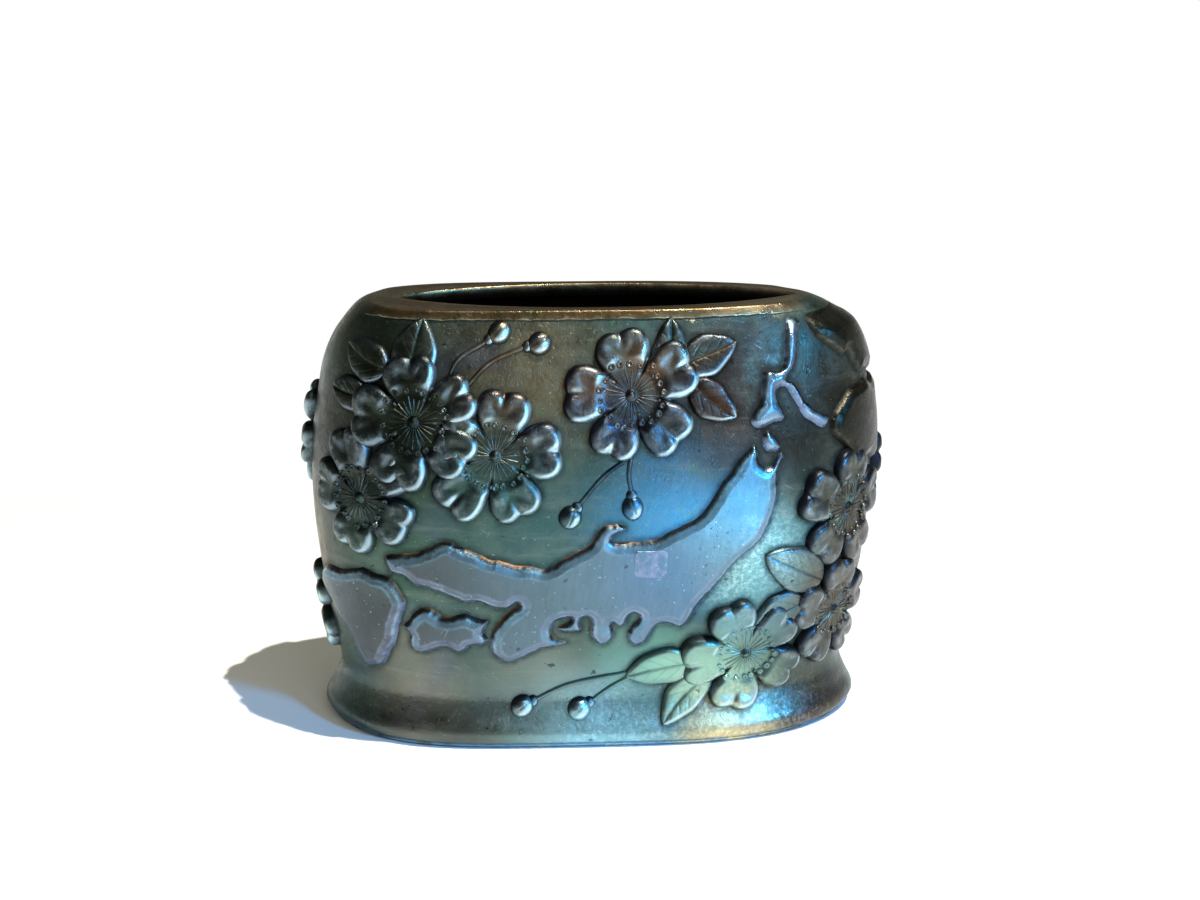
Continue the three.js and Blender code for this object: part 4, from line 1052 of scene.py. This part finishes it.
def seam_piece(material):
    """The bead of solder in the corner between the bottom plate and the foot."""
    top = PLATE_RECESS - 0.02
    lumps = lattice_noise(ring_row(0.0, FOOT_THICKNESS, 0.0), SEAM_LUMP_SIZE, SEAM_DRAWS)
    size = SEAM_SIZE * (1 + SEAM_LUMPS * lumps)
    outer = ring_row(0.0, FOOT_THICKNESS - 0.1, 0.0)
    inner = ring_row(0.0, FOOT_THICKNESS - 0.1 + SEAM_SIZE, 0.0)
    toward = (inner - outer)[:, :2] / SEAM_SIZE
    rows = []
    for step in range(SEAM_STEPS + 1):
        angle = math.pi / 2 * step / SEAM_STEPS
        row = outer.copy()
        row[:, :2] += toward * (size * (1 - math.cos(angle)) * 0.9)[:, None]
        row[:, 2] = top - size * (1 - math.sin(angle)) * 0.95
        rows.append(row)
    rows.append(ring_row(top + 0.05, FOOT_THICKNESS - 0.1, 0.0))
    make_piece("solder_bead", np.concatenate(rows), tube_faces(len(rows), COLUMNS), material,
               replaces="base_solder_seam")


# Rings of a plug from the middle of its head to the middle of its inner end: share of its outline, height,
# whether that counts from the head's top or else from the inner end, and wear
PLUG_RINGS = ((0.1, 0.0, True, 0.3), (0.7, 0.0, True, 0.3), (0.93, -0.01, True, 0.5), (1.0, -0.06, True, 0.6),
              (1.0, -0.4, True, 0.0), (1.0, 0.2, False, 0.0), (0.9, 0.0, False, 0.0), (0.1, 0.0, False, 0.0))


def plug_piece(name, outline, face, top, material):
    """A plug through the wall, with a slightly rounded head, given by its outline in run and height."""
    centre, count = outline.mean(0), len(outline)
    rows = []
    for share, lift, on_head, _ in PLUG_RINGS:
        at = centre + (outline - centre) * share
        relief = (top if on_head else -WALL - PLUG_PROUD_INSIDE) + lift
        rows.append(on_wall(face, at[:, 0], at[:, 1], np.full(count, relief)))
    vertices = np.concatenate(rows)
    faces = grid_faces(len(rows), count, closed=True, flip=True)
    faces += [tuple(range(count)), tuple(range(len(vertices) - 1, len(vertices) - count - 1, -1))]
    wear = np.repeat([ring[-1] for ring in PLUG_RINGS], count)
    make_piece(name + "_head", vertices, faces, material, {"wear": wear}, name)


def rounded_rectangle(middle, width, tall, corner, turn):
    points = []
    for quarter, (sx, sy) in enumerate(((1, 1), (-1, 1), (-1, -1), (1, -1))):
        for step in range(4):
            angle = math.radians(90 * quarter + 30 * step)
            points.append((sx * (width / 2 - corner) + corner * math.cos(angle),
                           sy * (tall / 2 - corner) + corner * math.sin(angle)))
    x, y = turned(0, 0, *np.transpose(points), math.radians(turn))
    return np.stack([x, y], 1) + middle


def plug_pieces(material, front_material):
    face, run, height, *form = SQUARE_PLUG
    outline = rounded_rectangle((run, height), *form)
    ragged = np.random.RandomState(SQUARE_PLUG_DRAWS).uniform(-RAGGED, RAGGED, outline.shape)
    top = BRANCH_TOP + SQUARE_PLUG_PROUD
    plug_piece("core_plug_front", soften(outline + ragged), face, top, front_material)
    around = turns(32)
    circle = ROUND_PLUG_RADIUS * np.stack([np.cos(around), np.sin(around)], 1)
    for name, face, run, height in ROUND_PLUGS:
        plug_piece(name, circle + (run, height), face, ROUND_PLUG_PROUD, material)


# Materials. Colours are levels from 0 to 255 as they look, and places and reaches are in millimetres.

def as_seen(colour):
    """Three levels of a colour as it looks in the linear values that shaders take. Other values stay."""
    if not isinstance(colour, tuple) or len(colour) != 3:
        return colour
    shares = [level / 255 for level in colour]
    return (*(s / 12.92 if s <= 0.04045 else ((s + 0.055) / 1.055) ** 2.4 for s in shares), 1.0)


class Nodes:
    """Short calls for building the node tree of a material or the world."""

    def __init__(self, owner, kind="Material"):
        owner.use_nodes = True
        self.owner, self.tree = owner, owner.node_tree
        self.tree.nodes.clear()
        self.output = self.new("ShaderNodeOutput" + kind)
        self.coordinates = self.new("ShaderNodeTexCoord").outputs
        self.place = self.coordinates["Object"]

    def new(self, kind, inputs=None, **settings):
        """A node with settings, and with inputs that are values or outputs of other nodes."""
        node = self.tree.nodes.new(kind)
        for key, value in settings.items():
            setattr(node, key, value)
        for key, value in (inputs or {}).items():
            if isinstance(value, bpy.types.NodeSocket):
                self.tree.links.new(value, node.inputs[key])
            else:
                node.inputs[key].default_value = value
        return node

    def show(self, shader):
        self.tree.links.new(shader.outputs[0], self.output.inputs["Surface"])
        return self.owner

    def noise(self, scale, detail=3.0, rough=0.5, place=None, distort=0.0, output="Fac"):
        inputs = {"Vector": place or self.place, "Scale": scale, "Detail": detail, "Roughness": rough,
                  "Distortion": distort}
        return self.new("ShaderNodeTexNoise", inputs).outputs[output]

    def range(self, value, low, high, to_low=0.0, to_high=1.0):
        inputs = {"Value": value, "From Min": low, "From Max": high, "To Min": to_low, "To Max": to_high}
        return self.new("ShaderNodeMapRange", inputs, interpolation_type="SMOOTHSTEP").outputs["Result"]

    def patches(self, low, high, *noise, **more):
        """0 to 1 as a noise goes from low to high."""
        return self.range(self.noise(*noise, **more), low, high)

    def math(self, operation, a, b, clamp=False):
        return self.new("ShaderNodeMath", {0: a, 1: b}, operation=operation, use_clamp=clamp).outputs[0]

    def times(self, a, b):
        return self.math("MULTIPLY", a, b)

    def mix(self, factor, a, b, blend="MIX"):
        inputs = {"Factor": factor, 6: as_seen(a), 7: as_seen(b)}
        return self.new("ShaderNodeMix", inputs, data_type="RGBA", blend_type=blend).outputs[2]

    def mix_values(self, factor, a, b):
        return self.new("ShaderNodeMix", {"Factor": factor, "A": a, "B": b}).outputs["Result"]

    def tint(self, colour, share, strength, tint):
        return self.mix(self.times(share, strength), colour, tint)

    def mark(self, name):
        return self.new("ShaderNodeAttribute", attribute_name=name).outputs["Fac"]

    def bump(self, height, strength, distance, **under):
        inputs = {"Strength": strength, "Distance": distance, "Height": height, **under}
        return self.new("ShaderNodeBump", inputs).outputs["Normal"]

    def vector(self, operation, *values, **named):
        inputs = {**dict(enumerate(values)), **named}
        return self.new("ShaderNodeVectorMath", inputs, operation=operation).outputs

    def moved_place(self, scale, amount):
        """The place on the object, shifted about a little, so that colours have uneven borders."""
        shift = self.vector("SCALE", self.noise(scale, 4.0, output="Color"), Scale=amount)[0]
        return self.vector("ADD", self.place, shift)[0]

    def stretched(self, lengths, turn):
        """The place on the object, turned about its depth, for textures that are longer along some axes."""
        inputs = {"Vector": self.place, "Rotation": (0, turn, 0), "Scale": lengths}
        return self.new("ShaderNodeMapping", inputs, vector_type="TEXTURE").outputs["Vector"]

    def near(self, place, centre, reach):
        """1 at a centre, falling to 0 at its reach."""
        distance = self.vector("DISTANCE", place, [value * MM for value in centre])["Value"]
        return self.range(distance, reach * MM, 0.0)

    def metal(self, colour, metallic, rough, normal):
        inputs = {"Base Color": colour, "Metallic": metallic, "Roughness": rough, "Normal": normal}
        return self.show(self.new("ShaderNodeBsdfPrincipled", inputs))


# Where the patina changes colour: place, reach, colour and strength. Some zones also paint light and shade:
# the blue and pale teal zones at the front right, the pale blue and pale yellow zones on the foot and the pale
# green zone under the branch paint the window's sheen and highlights, and the dark brown zone at the top right
# paints shade.
GROUND_COLOUR = (70, 92, 84)
GROUND_ZONES = [
    ((-66, -40, 132), 58, (56, 56, 38), 1.0),
    ((-54, -44, 84), 46, (62, 94, 78), 0.95),
    ((-16, -38, 138), 48, (122, 106, 76), 1.0),
    ((-6, -46, 90), 42, (62, 98, 98), 0.95),
    # Blue patina with the window's sheen painted on it, then a pale teal painted sheen
    ((36, -46, 86), 44, (66, 150, 200), 1.0),
    ((64, -44, 68), 34, (116, 180, 184), 0.95),
    # Painted shade at the top right
    ((50, -38, 132), 42, (46, 38, 26), 1.0),
    ((78, -34, 110), 36, (48, 56, 50), 1.0),
    ((92, -10, 118), 42, (46, 44, 34), 1.0),
    ((95, 0, 60), 48, (98, 90, 76), 0.95),
    ((-95, 0, 70), 42, (74, 68, 54), 1.0),
    ((-92, -14, 114), 40, (42, 42, 32), 1.0),
    ((-58, -42, 24), 38, (140, 130, 112), 0.95),
    ((-8, -42, 25), 36, (138, 146, 132), 0.9),
    ((-84, -36, 4), 42, (36, 42, 54), 1.0),
    ((-40, -43, 3), 34, (84, 88, 82), 0.9),
    # Painted highlights on the foot: pale blue, then pale yellow
    ((10, -43, 8), 42, (134, 196, 208), 0.95),
    ((54, -42, 8), 30, (240, 214, 160), 1.0),
    ((90, -24, 10), 38, (78, 68, 56), 1.0),
    # Painted highlight under the branch
    ((22, -45, 38), 26, (128, 188, 166), 0.9),
]
BACK_ZONES = [
    ((60, 38, 124), 56, (68, 68, 50), 0.9),
    ((10, 45, 80), 60, (66, 96, 92), 0.9),
    ((-50, 44, 60), 50, (72, 122, 146), 0.8),
    ((40, 42, 16), 50, (116, 112, 98), 0.9),
]
# The same for raised parts. The pale green and pale teal zones at the lower right also paint the window's
# sheen.
RAISED_ZONES = [
    ((-58, -40, 104), 76, (26, 38, 29), 1.0),
    ((-22, -44, 98), 24, (64, 98, 90), 0.9),
    ((-26, -38, 138), 24, (58, 42, 30), 1.0),
    ((8, -40, 122), 44, (38, 42, 60), 1.0),
    # Pale green and pale teal zones, with the window's sheen painted in
    ((44, -44, 30), 38, (176, 226, 196), 1.0),
    ((62, -43, 58), 26, (110, 160, 164), 0.9),
    ((94, -14, 62), 54, (98, 86, 72), 1.0),
    ((94, -10, 104), 48, (66, 58, 46), 1.0),
]
# Places where the patina is worn to pale flecks, with their reach and the flecks' colour. On the foot and at
# the right the near white and pale blue flecks also paint glints of the window.
FLECK_ZONES = [
    ((58, -45, 74), 30, (206, 240, 238)),
    ((54, -42, 8), 38, (240, 236, 186)),
    ((10, -43, 6), 36, (176, 220, 232)),
    ((84, -34, 14), 30, (150, 146, 146)),
]
# Places darkened with painted shade, with their reach and what is left of each colour channel
PAINTED_SHADE_ZONES = [
    ((60, -38, 128), 48, (0.95, 0.3, 0.15)),
    ((94, -20, 8), 34, (0.7, 0.5, 0.34)),
    ((-66, -40, 134), 46, (0.6, 0.58, 0.5)),
    ((-74, -34, 108), 48, (0.6, 0.6, 0.54)),
    ((-80, -32, 44), 30, (0.75, 0.68, 0.6)),
    ((52, -46, 70), 22, (0.95, 0.72, 0.62)),
]
# Golden brown places on the raised parts, and their reach. The last, over the upper buds, paints a copper
# highlight on their tips.
GOLDEN_PLACES = [((7, -37, 136), 14), ((23, -35, 140), 17), ((-26, -37, 139), 20)]
# The branch's top from the left to the right: place, reach and colour. The bright blue at the right is a
# painted reflection of the window.
BRANCH_ZONES = [
    ((-60, -43, 55), 70, (78, 80, 80)),
    ((-82, -35, 44), 30, (60, 58, 58)),
    ((26, -46, 64), 32, (100, 130, 154)),
    ((54, -45, 92), 30, (90, 158, 190)),
]
# Lengths and turns of the scratches' directions
SCRATCH_TURNS = ((18.0, 0.6), (12.0, -1.1), (15.0, 2.0))
METALLIC = 0.92
GLOSS_SPREAD = (-0.09, 0.1)
VIOLET_SHARE = 0.25
RAISED_VIOLET_SHARE = 0.1
CREST_SHARE = 0.22
# How strongly light and shade are painted on the slopes of raised parts
SLOPE_LIGHT_SHADE_SHARE = 0.85


def mottled(n, colour, violet_share):
    """Cloudy, streaked and speckled variation that all of the patina has."""
    clouds = n.patches(0.34, 0.66, 22.0, 5.0, 0.6)
    colour = n.tint(colour, clouds, 0.35, n.mix(0.5, colour, (34, 42, 36)))
    blotches = n.patches(0.4, 0.66, 70.0, 6.0, 0.68)
    colour = n.tint(colour, blotches, 0.35, n.mix(0.5, colour, (126, 140, 128)))
    violet = n.patches(0.52, 0.72, 30.0, 4.0, 0.55, distort=0.8)
    colour = n.tint(colour, violet, violet_share, (92, 96, 128))
    green = n.patches(0.58, 0.72, 120.0, 5.0, 0.65)
    colour = n.tint(colour, green, 0.3, (84, 132, 100))
    rubbed = n.patches(0.5, 0.72, 260.0, 5.0, 0.7, n.stretched((9.0, 9.0, 1.0), 0.05))
    colour = n.tint(colour, rubbed, 0.3, n.mix(0.5, colour, (150, 158, 146)))
    specks = n.patches(0.7, 0.75, 900.0, 2.0, 0.5)
    colour = n.tint(colour, specks, 0.5, (150, 176, 170))
    spots = n.patches(0.31, 0.26, 260.0, 3.0, 0.5)
    return n.tint(colour, spots, 0.7, (22, 28, 30))


def scratched(n, colour, share):
    """A few thin light scratches in three directions."""
    for length, turn in SCRATCH_TURNS:
        lines = n.patches(0.72, 0.76, 1500.0, 1.0, 0.4, n.stretched((length, length, 1.0), turn))
        patches = n.patches(0.58, 0.7, 34.0, 2.0, 0.5)
        colour = n.tint(colour, n.times(lines, patches), share, (170, 190, 196))
    return colour


def raised_colours(n, colour, place, raised):
    """Pale crests, golden brown places (over the upper buds a painted highlight), and painted light and shade
    on the slopes: a painted highlight down to the right and painted navy shade up to the left.
    """
    uneven = n.range(n.noise(130.0, 5.0, 0.6), 0.3, 0.7, 0.6, 1.0)
    crest, facing = n.mark("crest"), n.mark("facing")
    colour = n.mix(n.times(crest, n.times(uneven, CREST_SHARE * raised)), colour, (84, 100, 112))
    # Golden brown patina, and over the upper buds a painted copper highlight
    for centre, reach in GOLDEN_PLACES:
        golden = n.times(n.near(place, centre, reach), n.patches(0.32, 0.52, 70.0, 4.0, 0.6))
        colour = n.tint(colour, golden, 0.85, (124, 88, 52))
    # Painted highlight on slopes that face down to the right: pale at the far left and grey at the right end
    lit = n.times(n.range(facing, 0.54, 0.72), uneven)
    lit = n.times(lit, n.range(crest, 0.25, 0.85, 0.12, 1.0))
    glint = n.mix(n.near(place, (-85, -30, 115), 70), (212, 244, 248), (110, 122, 140))
    glint = n.mix(n.near(place, (96, -10, 80), 60), glint, (120, 116, 112))
    colour = n.tint(colour, lit, SLOPE_LIGHT_SHADE_SHARE * raised, glint)
    # Painted navy shade on slopes that face up to the left
    return n.tint(colour, n.range(facing, 0.48, 0.24), SLOPE_LIGHT_SHADE_SHARE * raised, (26, 30, 42))


def patina(name, raised=0.0, gloss=0.34, over=None):
    """Patinated bronze. raised is how strongly the slopes and crests of raised parts are tinted, the slopes
    with painted light and shade, and over is a function that lays a part's own colours on the patina."""
    n = Nodes(bpy.data.materials.new(name))
    place = n.moved_place(38.0, 0.016)
    colour = GROUND_COLOUR
    for centre, reach, tint, strength in GROUND_ZONES + BACK_ZONES + (RAISED_ZONES if raised else []):
        colour = n.tint(colour, n.near(place, centre, reach), strength, tint)
    colour = mottled(n, colour, RAISED_VIOLET_SHARE if raised else VIOLET_SHARE)
    # Painted shade
    for centre, reach, kept in PAINTED_SHADE_ZONES:
        colour = n.mix(n.near(place, centre, reach), colour, (*kept, 1.0), "MULTIPLY")
    # Pale flecks: worn patina, and painted glints of the window on the foot and at the right
    flecks = n.patches(0.42, 0.66, 620.0, 6.0, 0.8)
    for centre, reach, tint in FLECK_ZONES:
        colour = n.tint(colour, n.times(n.near(place, centre, reach), flecks), 0.85, tint)
    if raised:
        colour = raised_colours(n, colour, place, raised)
    grime = n.mark("grime")
    uneven = n.range(n.noise(300.0, 3.0, 0.6), 0.3, 0.7, 0.55, 1.0)
    colour = n.tint(colour, n.times(grime, uneven), 0.85, (20, 23, 18))
    wear = n.times(n.mark("wear"), n.patches(0.45, 0.66, 210.0, 5.0, 0.65))
    colour = scratched(n, n.tint(colour, wear, 0.45, (160, 172, 176)), 0.35)
    rough = n.range(n.noise(150.0, 6.0, 0.7), 0.3, 0.7, *(gloss + spread for spread in GLOSS_SPREAD))
    rough = n.math("ADD", rough, n.times(grime, 0.25))
    rough = n.math("SUBTRACT", rough, n.times(wear, 0.08), clamp=True)
    normal = n.bump(n.noise(420.0, 6.0, 0.7), 0.5, 0.28 * MM)
    normal = n.bump(n.patches(0.3, 0.42, 900.0, 2.0, 0.5), 0.3, 0.15 * MM, Normal=normal)
    return n.metal(over(n, colour) if over else colour, METALLIC, rough, normal)


def wall_colours(n, colour):
    """The casting's foot with a painted bluish reflection along its bottom edge, its dark copper lip and rim
    with a painted highlight toward the right, and its dark inside.
    """
    copper = n.mix(n.patches(0.35, 0.7, 140.0, 4.0, 0.6), (94, 70, 42), (82, 74, 48))
    # Painted highlight: the rim and lip paler toward the right
    copper = n.mix(n.near(n.place, (90, -20, 145), 70), copper, (150, 138, 112))
    edge = n.times(n.mark("wear"), n.patches(0.36, 0.62, 190.0, 5.0, 0.65))
    copper = n.tint(copper, edge, 0.85, (186, 172, 138))
    copper = n.tint(copper, n.mark("grime"), 0.9, (30, 22, 15))
    height = n.new("ShaderNodeSeparateXYZ", {0: n.place}).outputs["Z"]
    # Painted bluish reflection along the bottom edge of the foot
    low = n.times(n.range(height, 2.8 * MM, 0.6 * MM), n.patches(0.36, 0.6, 160.0, 4.0, 0.6))
    colour = n.mix(n.mark("lip"), n.tint(colour, low, 0.7, (92, 140, 172)), copper)
    inside = n.mix(n.patches(0.4, 0.7, 60.0, 4.0, 0.6), (46, 32, 22), (24, 21, 16))
    return n.mix(n.mark("inside"), colour, inside)


def branch_top(n, colour):
    """The branch's brushed grey top, bluer and brighter to the right, where the brightness is a painted
    reflection of the window.
    """
    place = n.moved_place(38.0, 0.012)
    top = (104, 130, 142)
    for centre, reach, tint in BRANCH_ZONES:
        top = n.mix(n.near(place, centre, reach), top, tint)
    brushed = n.patches(0.35, 0.68, 700.0, 4.0, 0.6, n.stretched((1.0, 1.0, 7.0), 0.15))
    top = n.tint(top, brushed, 0.3, n.mix(0.5, top, (70, 72, 76)))
    colour = n.mix(n.range(n.noise(50.0, 5.0, 0.6), 0.3, 0.7, 0.72, 0.95), colour, top)
    colour = n.tint(colour, n.patches(0.7, 0.74, 800.0, 2.0, 0.5), 0.6, (170, 200, 210))
    colour = n.tint(colour, n.patches(0.33, 0.28, 420.0, 3.0, 0.5), 0.6, (44, 56, 66))
    return scratched(n, colour, 0.6)


def branch_colours(n, colour):
    """The branch's top, with painted light and shade by which way each part faces: bevels painted light blue
    where they face up and lavender where they face down, and slopes painted dark above and pale below.
    """
    place = n.moved_place(38.0, 0.012)
    colour = branch_top(n, colour)
    upward = n.range(n.mark("upward"), 0.35, 0.7)
    uneven = n.range(n.noise(110.0, 5.0, 0.65), 0.34, 0.62, 0.25, 1.0)
    # Painted light on the bevels, by which way they face
    shown = n.times(n.mark("bevel"), n.range(n.mark("upward"), 0.4, 0.7, 0.55, 0.34))
    colour = n.tint(colour, shown, uneven, n.mix(upward, (124, 132, 156), (112, 164, 192)))
    # Painted shade on the upper slopes and painted light on the lower ones
    colour = n.tint(colour, n.mark("side"), 0.85, n.mix(upward, (124, 140, 168), (34, 28, 24)))
    foot = n.times(n.times(n.mark("grime"), upward), n.patches(0.42, 0.56, 90.0))
    foot = n.times(foot, n.range(n.near(place, (-20, -45, 74), 60), 0.0, 0.3))
    return worn_edges(n, n.tint(colour, foot, 0.8, (168, 118, 62)), 0.5, (160, 196, 208))


def worn_edges(n, colour, strength, tint):
    return n.tint(colour, n.times(n.mark("wear"), n.patches(0.4, 0.62, 210.0, 4.0, 0.6)), strength, tint)


def shoulder_colours(n, colour):
    """The raised plates round the right end: olive brown like the wall there, with a worn upper edge."""
    olive = n.mix(n.patches(0.35, 0.65, 70.0, 4.0, 0.6), (34, 36, 28), (48, 42, 34))
    colour = n.tint(n.mix(0.85, colour, olive), n.mark("side"), 0.5, (34, 32, 28))
    return worn_edges(n, colour, 0.2, (110, 112, 90))


def plug_colours(n, colour):
    """The pale violet head of the plug in the branch, worn to the branch's colour in places."""
    pale = n.range(n.noise(190.0, 5.0, 0.7), 0.42, 0.58, 0.05, 0.6)
    return n.mix(pale, branch_top(n, colour), (150, 156, 188))


def plain_bronze_material():
    n = Nodes(bpy.data.materials.new("plain_bronze"))
    colour = n.mix(n.patches(0.35, 0.68, 70.0, 5.0, 0.6), (112, 92, 62), (70, 62, 48))
    colour = n.tint(colour, n.mark("grime"), 0.7, (40, 38, 32))
    rough = n.range(n.noise(160.0, 4.0, 0.6), 0.3, 0.7, 0.42, 0.62)
    return n.metal(colour, 0.85, rough, n.bump(n.noise(500.0, 5.0, 0.6), 0.4, 0.3 * MM))


def solder_material():
    n = Nodes(bpy.data.materials.new("solder"))
    colour = n.mix(n.patches(0.35, 0.68, 90.0, 5.0, 0.6), (140, 136, 126), (92, 88, 78))
    rough = n.range(n.noise(200.0, 4.0, 0.6), 0.3, 0.7, 0.4, 0.6)
    return n.metal(colour, 0.8, rough, n.bump(n.noise(600.0, 4.0, 0.6), 0.35, 0.3 * MM))


# Building the vase. The numbers added to an index are the seeds from which each kind's random draws start.

LEAF_DRAWS = 40
BRANCH_DRAWS = 60


def build_vase():
    petals = patina("petal_patina", raised=1.0)
    leaves = patina("leaf_patina", raised=0.75, gloss=0.35)
    branch = patina("branch_patina", over=branch_colours)
    shoulder = patina("shoulder_patina", gloss=0.3, over=shoulder_colours)
    wall_piece(patina("ground_patina", over=wall_colours))
    for index, spec in enumerate(BLOSSOMS):
        blossom_piece(f"blossom_{index + 1}", spec, petals, index)
    for index, spec in enumerate(LEAVES):
        leaf_piece(f"leaf_{index + 1}", spec, leaves, LEAF_DRAWS + index)
    for index, spec in enumerate(BUDS):
        bud_piece(f"bud_{index + 1}", spec, petals)
    for index, (name, face, outline) in enumerate(BRANCH_PIECES):
        branch_piece(name, face, outline, shoulder if name in PLATES else branch, BRANCH_DRAWS + index)
    plug_pieces(patina("plug_patina", gloss=0.36), patina("plug_head", over=plug_colours))
    plate_piece(plain_bronze_material())
    seam_piece(solder_material())


# Stage, in metres

PHOTO_WIDTH = 1200.0
PHOTO_HEIGHT = 900.0
FOCAL_PIXELS = 1790.0
SENSOR = 36.0
VIEW_DISTANCE = 0.614
VIEW_ELEVATION = 17.4
VIEW_AZIMUTH = -2.5
VIEW_TARGET = (0.0, 0.0, 0.0735)
TARGET_PIXEL = (593.0, 498.0)
MIDDLE = (0, 0, 0.07)
# Name, place, size, power in watts, colour and what it faces. The high warm lamp at the right casts the
# shadow, the blue window at the front right tints part of it, and the glare lies low in front and faces up.
LIGHTS = [
    ("lamp_right", (0.875, -0.6, 3.0), 0.05, 127.0, (1.0, 0.93, 0.84), MIDDLE),
    ("window", (1.6, -1.54, 0.95), 0.3, 52.0, (0.06, 0.42, 1.0), MIDDLE),
    ("soft_front", (0.42, -0.95, 0.55), 0.8, 2.4, (0.85, 0.96, 1.0), MIDDLE),
    ("glare", (0.24, -0.34, 0.004), 0.3, 0.9, (0.62, 0.88, 1.0), (0.24, -0.34, 1.0)),
]
FLOOR_RADIUS = 9.0
FLOOR_PAINT = (0.86, 0.86, 0.86, 1)
WHITE = (1, 1, 1, 1)
SHADOW_REACH = (0.2, 0.6)
ROOM = (0.30, 0.29, 0.235)
ROOM_STRENGTH = 1.0
# What is left of the room's light high up in what the bronze mirrors, and where the dimming starts and ends
DARK_ROOM_SHARE = 0.2
DARK_ROOM_SPAN = (0.02, 0.4)


def make_camera():
    """The photograph's camera: where it stands, and aimed so that the target falls on its pixel."""
    def axes(forward):
        right = forward.cross(Vector((0, 0, 1))).normalized()
        return right, right.cross(forward)

    elevation, azimuth = math.radians(VIEW_ELEVATION), math.radians(VIEW_AZIMUTH)
    level = math.cos(elevation)
    back = Vector((math.sin(azimuth) * level, -math.cos(azimuth) * level, math.sin(elevation)))
    right, up = axes(-back)
    aside = (TARGET_PIXEL[0] - PHOTO_WIDTH / 2) / FOCAL_PIXELS
    below = (TARGET_PIXEL[1] - PHOTO_HEIGHT / 2) / FOCAL_PIXELS
    aim = (-back - right * aside + up * below).normalized()
    right, up = axes(aim)
    data = bpy.data.cameras.new("camera")
    data.sensor_width = SENSOR
    data.lens = SENSOR * FOCAL_PIXELS / PHOTO_WIDTH
    data.clip_start, data.clip_end = 0.01, 50
    camera = add_object("camera", data)
    turn = Matrix((right, up, -aim)).transposed()
    camera.matrix_world = Matrix.Translation(Vector(VIEW_TARGET) + back * VIEW_DISTANCE) @ turn.to_4x4()
    bpy.context.scene.camera = camera


def area_light(name, place, size, power, colour, target):
    data = bpy.data.lights.new(name, "AREA")
    data.shape, data.size, data.energy, data.color = "DISK", size, power, colour
    lamp = add_object(name, data)
    lamp.location = place
    lamp.rotation_euler = (Vector(target) - Vector(place)).to_track_quat("-Z", "Y").to_euler()


def make_floor():
    """A white floor: lit and shadowed near the vase, and further off plain white where seen or mirrored."""
    mesh = bpy.data.meshes.new("floor")
    around = turns(96)
    points = np.stack([FLOOR_RADIUS * np.cos(around), FLOOR_RADIUS * np.sin(around), 0 * around], 1)
    mesh.from_pydata(points.tolist(), [], [tuple(range(len(around)))])
    n = Nodes(bpy.data.materials.new("white_floor"))
    paint = n.new("ShaderNodeBsdfDiffuse", {"Color": FLOOR_PAINT}).outputs[0]
    glow = n.new("ShaderNodeEmission", {"Color": WHITE}).outputs[0]
    rays = n.new("ShaderNodeLightPath").outputs
    seen = n.math("MAXIMUM", rays["Is Camera Ray"], rays["Is Glossy Ray"])
    seen = n.math("MAXIMUM", seen, rays["Is Transmission Ray"])
    strength = n.times(seen, n.range(n.vector("LENGTH", n.place)["Value"], *SHADOW_REACH))
    mesh.materials.append(n.show(n.new("ShaderNodeMixShader", {0: strength, 1: paint, 2: glow})))
    add_object("floor", mesh)


def make_world():
    """A room: white to the camera, an even light on the vase, and dim high up in what the bronze mirrors."""
    world = bpy.context.scene.world = bpy.data.worlds.new("studio")
    n = Nodes(world, "World")
    height = n.new("ShaderNodeSeparateXYZ", {0: n.coordinates["Generated"]}).outputs["Z"]
    rays = n.new("ShaderNodeLightPath").outputs
    raised = n.range(height, *DARK_ROOM_SPAN, 1.0, DARK_ROOM_SHARE)
    strength = n.mix_values(rays["Is Glossy Ray"], ROOM_STRENGTH, raised)
    strength = n.mix_values(rays["Is Camera Ray"], strength, 1.0)
    tint = n.mix(rays["Is Camera Ray"], (*ROOM, 1), WHITE)
    n.show(n.new("ShaderNodeBackground", {"Color": tint, "Strength": strength}))


build_vase()
make_camera()
make_floor()
make_world()
for light in LIGHTS:
    area_light(*light)
bpy.context.scene.view_settings.view_transform = "Standard"
